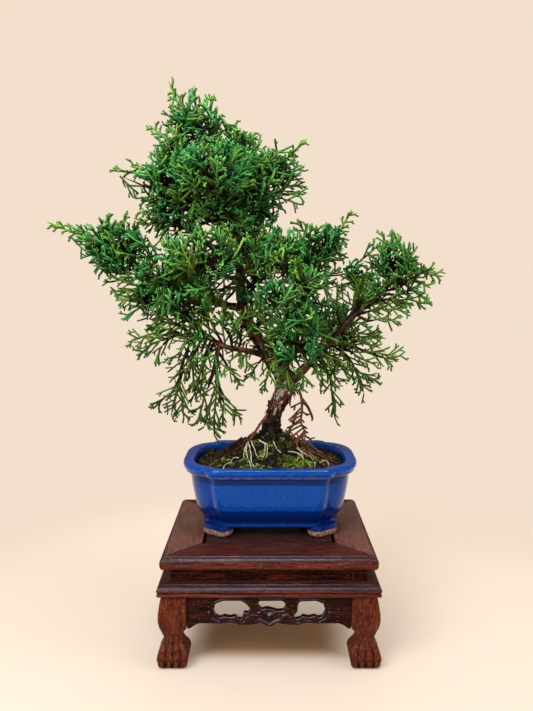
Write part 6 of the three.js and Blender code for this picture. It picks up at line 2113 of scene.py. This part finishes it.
class BONSAI_OT_dry_twigs(bpy.types.Operator):
    """Makes the dead sprays that hang to the right of the trunk"""

    bl_idname = "bonsai.dry_twigs"
    bl_label = "Dry twigs"

    def execute(self, context):
        cords = Cords(0.8, SEEDS["dry"])
        rng = cords.rng
        for route, radii in DRY_STEMS:
            stem = smooth_route(route, 3)[0]
            cords.add(stem, np.linspace(*radii, len(stem)), np.zeros(len(stem)), 0.0, 6)
        stem = smooth_route(DRY_STEMS[0][0], 3)[0]
        for k in range(4, len(stem)):
            for side, longest in ((-1, 13), (1, 6)):
                if side == 1 and k % 2:
                    continue
                aside, forth = side * rng.uniform(0.5, 0.9), rng.uniform(-0.2, 0.2)
                way = unit(np.array([aside, forth, -rng.uniform(0.3, 0.7)]))
                length = longest * rng.uniform(0.5, 1.0)
                grow(cords, stem[k], way, length, np.array([0, 1.0, 0]), 1, DRY_LOOK)
        points, faces, _, _, _ = cords.mesh()
        settle(mesh_piece("dry_twigs", points, faces), ["dry"])
        return {"FINISHED"}


# The stage

CAMERA_PLACE = (-1.6, -475.0, 241.5)
CAMERA_PITCH = -6.18
FOCAL_PIXELS = 706
PHOTO_HEIGHT = 711
SENSOR = 36.0
COOL_WHITE = (0.92, 0.97, 1.0)
# Soft boxes: name, place, target, size, power against the key setting, colour, and the kind of
# light that a box doesn't give.
LIGHTS = [
    ("key", (-280, -440, 520), (0, 0, 180), (380, 380), 0.7, COOL_WHITE, None),
    ("top", (40, -20, 900), (0, 0, 120), (520, 520), 0.37, COOL_WHITE, None),
    ("side", (560, -260, 330), (0, 0, 170), (420, 420), 0.24, COOL_WHITE, "glossy"),
    ("back", (40, 560, 300), (0, 0, 30), (420, 420), 0.24, COOL_WHITE, "glossy"),
    # A long box that only gleams on glaze and polished edges
    ("gleam", (0, -230, 900), (0, -30, 110), (700, 360), 2.4, (0.8, 0.9, 1.0), "diffuse"),
]


class BONSAI_OT_stage(bpy.types.Operator):
    """Makes the floor, the backdrop, the lights and the camera"""

    bl_idname = "bonsai.stage"
    bl_label = "Stage"

    def execute(self, context):
        settings = context.scene.bonsai_stage
        scene = context.scene
        scene.view_settings.view_transform = "Standard"
        backdrop = (*settings.backdrop_colour, 1.0)

        deselect_all()
        bpy.ops.mesh.primitive_circle_add(vertices=96, radius=6.0, fill_type="NGON")
        floor = bpy.context.object
        floor.name = floor.data.name = "floor"
        floor.data.transform(Matrix.Translation((STAND_MIDDLE.x, STAND_MIDDLE.y, -0.0002)))
        floor.data.materials.append(self.floor_material(backdrop))

        world = bpy.data.worlds.new("studio")
        scene.world = world
        world.use_nodes = True
        tree = world.node_tree
        tree.nodes.clear()
        nodes = Nodes(tree)
        seen = nodes.add("Background", {"Color": backdrop, "Strength": 1.0})
        # Reflections see a darker room than the matt surfaces do.
        strength = nodes.sum_of("MULTIPLY_ADD", nodes.add("LightPath", output="Is Glossy Ray"), -0.28, 0.5)
        lit = nodes.add("Background", {"Color": (1.0, 0.76, 0.56, 1.0), "Strength": strength})
        in_view = nodes.add("LightPath", output="Is Camera Ray")
        both = nodes.add("MixShader", {0: in_view, 1: lit, 2: seen})
        nodes.feed(tree.nodes.new("ShaderNodeOutputWorld").inputs["Surface"], both)

        for name, place, target, size, share, tint, hidden in LIGHTS:
            light = self.soft_light(name, place, target, size, settings.key_power * share, tint)
            if hidden:
                setattr(light, f"visible_{hidden}", False)

        camera_data = bpy.data.cameras.new("camera")
        camera_data.sensor_width = SENSOR
        camera_data.lens = FOCAL_PIXELS / PHOTO_HEIGHT * SENSOR
        camera_data.clip_start, camera_data.clip_end = 0.01, 20
        camera = bpy.data.objects.new("camera", camera_data)
        scene.collection.objects.link(camera)
        camera.location = TO_FRAME @ Vector(CAMERA_PLACE)
        camera.rotation_euler = (math.radians(90 + CAMERA_PITCH), 0, 0)
        scene.camera = camera
        return {"FINISHED"}

    @staticmethod
    def floor_material(backdrop):
        """Matt painted board: cream, and the same tone as the backdrop further out, so that no
        edge shows."""
        nodes, finish = blank_material("board_painted_matt")
        middle = {0: nodes.place(), 1: (STAND_MIDDLE.x, STAND_MIDDLE.y, 0.0)}
        offset = nodes.add("VectorMath", middle, operation="SUBTRACT")
        distance = nodes.add("VectorMath", {0: offset}, "Value", operation="LENGTH")
        far = nodes.smoothed(distance, 0.2, 0.34)

        def outside(axis, line, start, stop):
            """Rises from 0 to 1 between two distances from a line, all in metres."""
            shifted = nodes.sum_of("SUBTRACT", nodes.add("SeparateXYZ", {0: offset}, axis), line)
            return nodes.smoothed(nodes.sum_of("ABSOLUTE", shifted), start, stop)

        # Painted shadow: the board under the stand is painted darker and redder, and glows dimmer, for the
        # shade there and the red light that the wood throws.
        sides, ends = outside("X", 0.0, 0.034, 0.064), outside("Y", -0.017, 0.014, 0.036)
        outside_painted_shadow = nodes.sum_of("MAXIMUM", sides, ends)
        material = finish(nodes.mix(outside_painted_shadow, "#ab8360", "#e3d4c5"), 0.95, 0.0)
        # Painted light: the board glows with a light of its own, a third of it near the stand so that
        # shadows stay soft, and all of it further out, where it matches the backdrop.
        near_glow = nodes.mix(outside_painted_shadow, (0.2, 0.11, 0.06, 1.0), (0.85, 0.695, 0.55, 1.0))
        glow = nodes.add("Emission", {"Color": nodes.mix(far, near_glow, backdrop)})
        shader = material.node_tree.nodes["Principled BSDF"].outputs[0]
        share = nodes.ranged(far, 0.0, 1.0, 0.32, 1.0)
        mixed = nodes.add("MixShader", {0: share, 1: shader, 2: glow})
        output = material.node_tree.nodes["Material Output"]
        nodes.feed(output.inputs["Surface"], mixed)
        return material

    @staticmethod
    def soft_light(name, place, target, size, power, tint):
        """A large soft box, so long and so wide, that points at a target."""
        data = bpy.data.lights.new(name, "AREA")
        data.shape = "RECTANGLE"
        data.size, data.size_y = size[0] * MM, size[1] * MM
        data.energy = power
        data.color = tint
        light = bpy.data.objects.new(name, data)
        light.visible_camera = False
        bpy.context.scene.collection.objects.link(light)
        light.location = TO_FRAME @ Vector(place)
        way = (TO_FRAME @ Vector(target)) - light.location
        light.rotation_euler = way.to_track_quat("-Z", "Y").to_euler()
        return light


# Panel, registration and the run

OPERATORS = [
    BONSAI_OT_stage, BONSAI_OT_stand_top, BONSAI_OT_stand_legs, BONSAI_OT_stand_aprons, BONSAI_OT_pot,
    BONSAI_OT_soil, BONSAI_OT_wood, BONSAI_OT_roots, BONSAI_OT_foliage, BONSAI_OT_dry_twigs,
]


class BONSAI_PT_panel(bpy.types.Panel):
    """Lists the steps and the settings of the bonsai"""

    bl_label = "Juniper bonsai"
    bl_idname = "BONSAI_PT_panel"
    bl_space_type = "VIEW_3D"
    bl_region_type = "UI"
    bl_category = "Bonsai"

    def draw(self, context):
        layout = self.layout
        for operator in OPERATORS:
            layout.operator(operator.bl_idname)
        for key, group in SETTINGS.items():
            box = layout.box()
            box.label(text=group.__doc__)
            for name in group.__annotations__:
                box.prop(getattr(context.scene, key), name)


def register():
    for group in (*SETTINGS.values(), *OPERATORS, BONSAI_PT_panel):
        bpy.utils.register_class(group)
    for key, group in SETTINGS.items():
        setattr(bpy.types.Scene, key, PointerProperty(type=group))


def unregister():
    for key in SETTINGS:
        delattr(bpy.types.Scene, key)
    for group in reversed((*SETTINGS.values(), *OPERATORS, BONSAI_PT_panel)):
        bpy.utils.unregister_class(group)


def main():
    register()
    for operator in OPERATORS:
        group, name = operator.bl_idname.split(".")
        getattr(getattr(bpy.ops, group), name)()


if __name__ == "__main__":
    main()
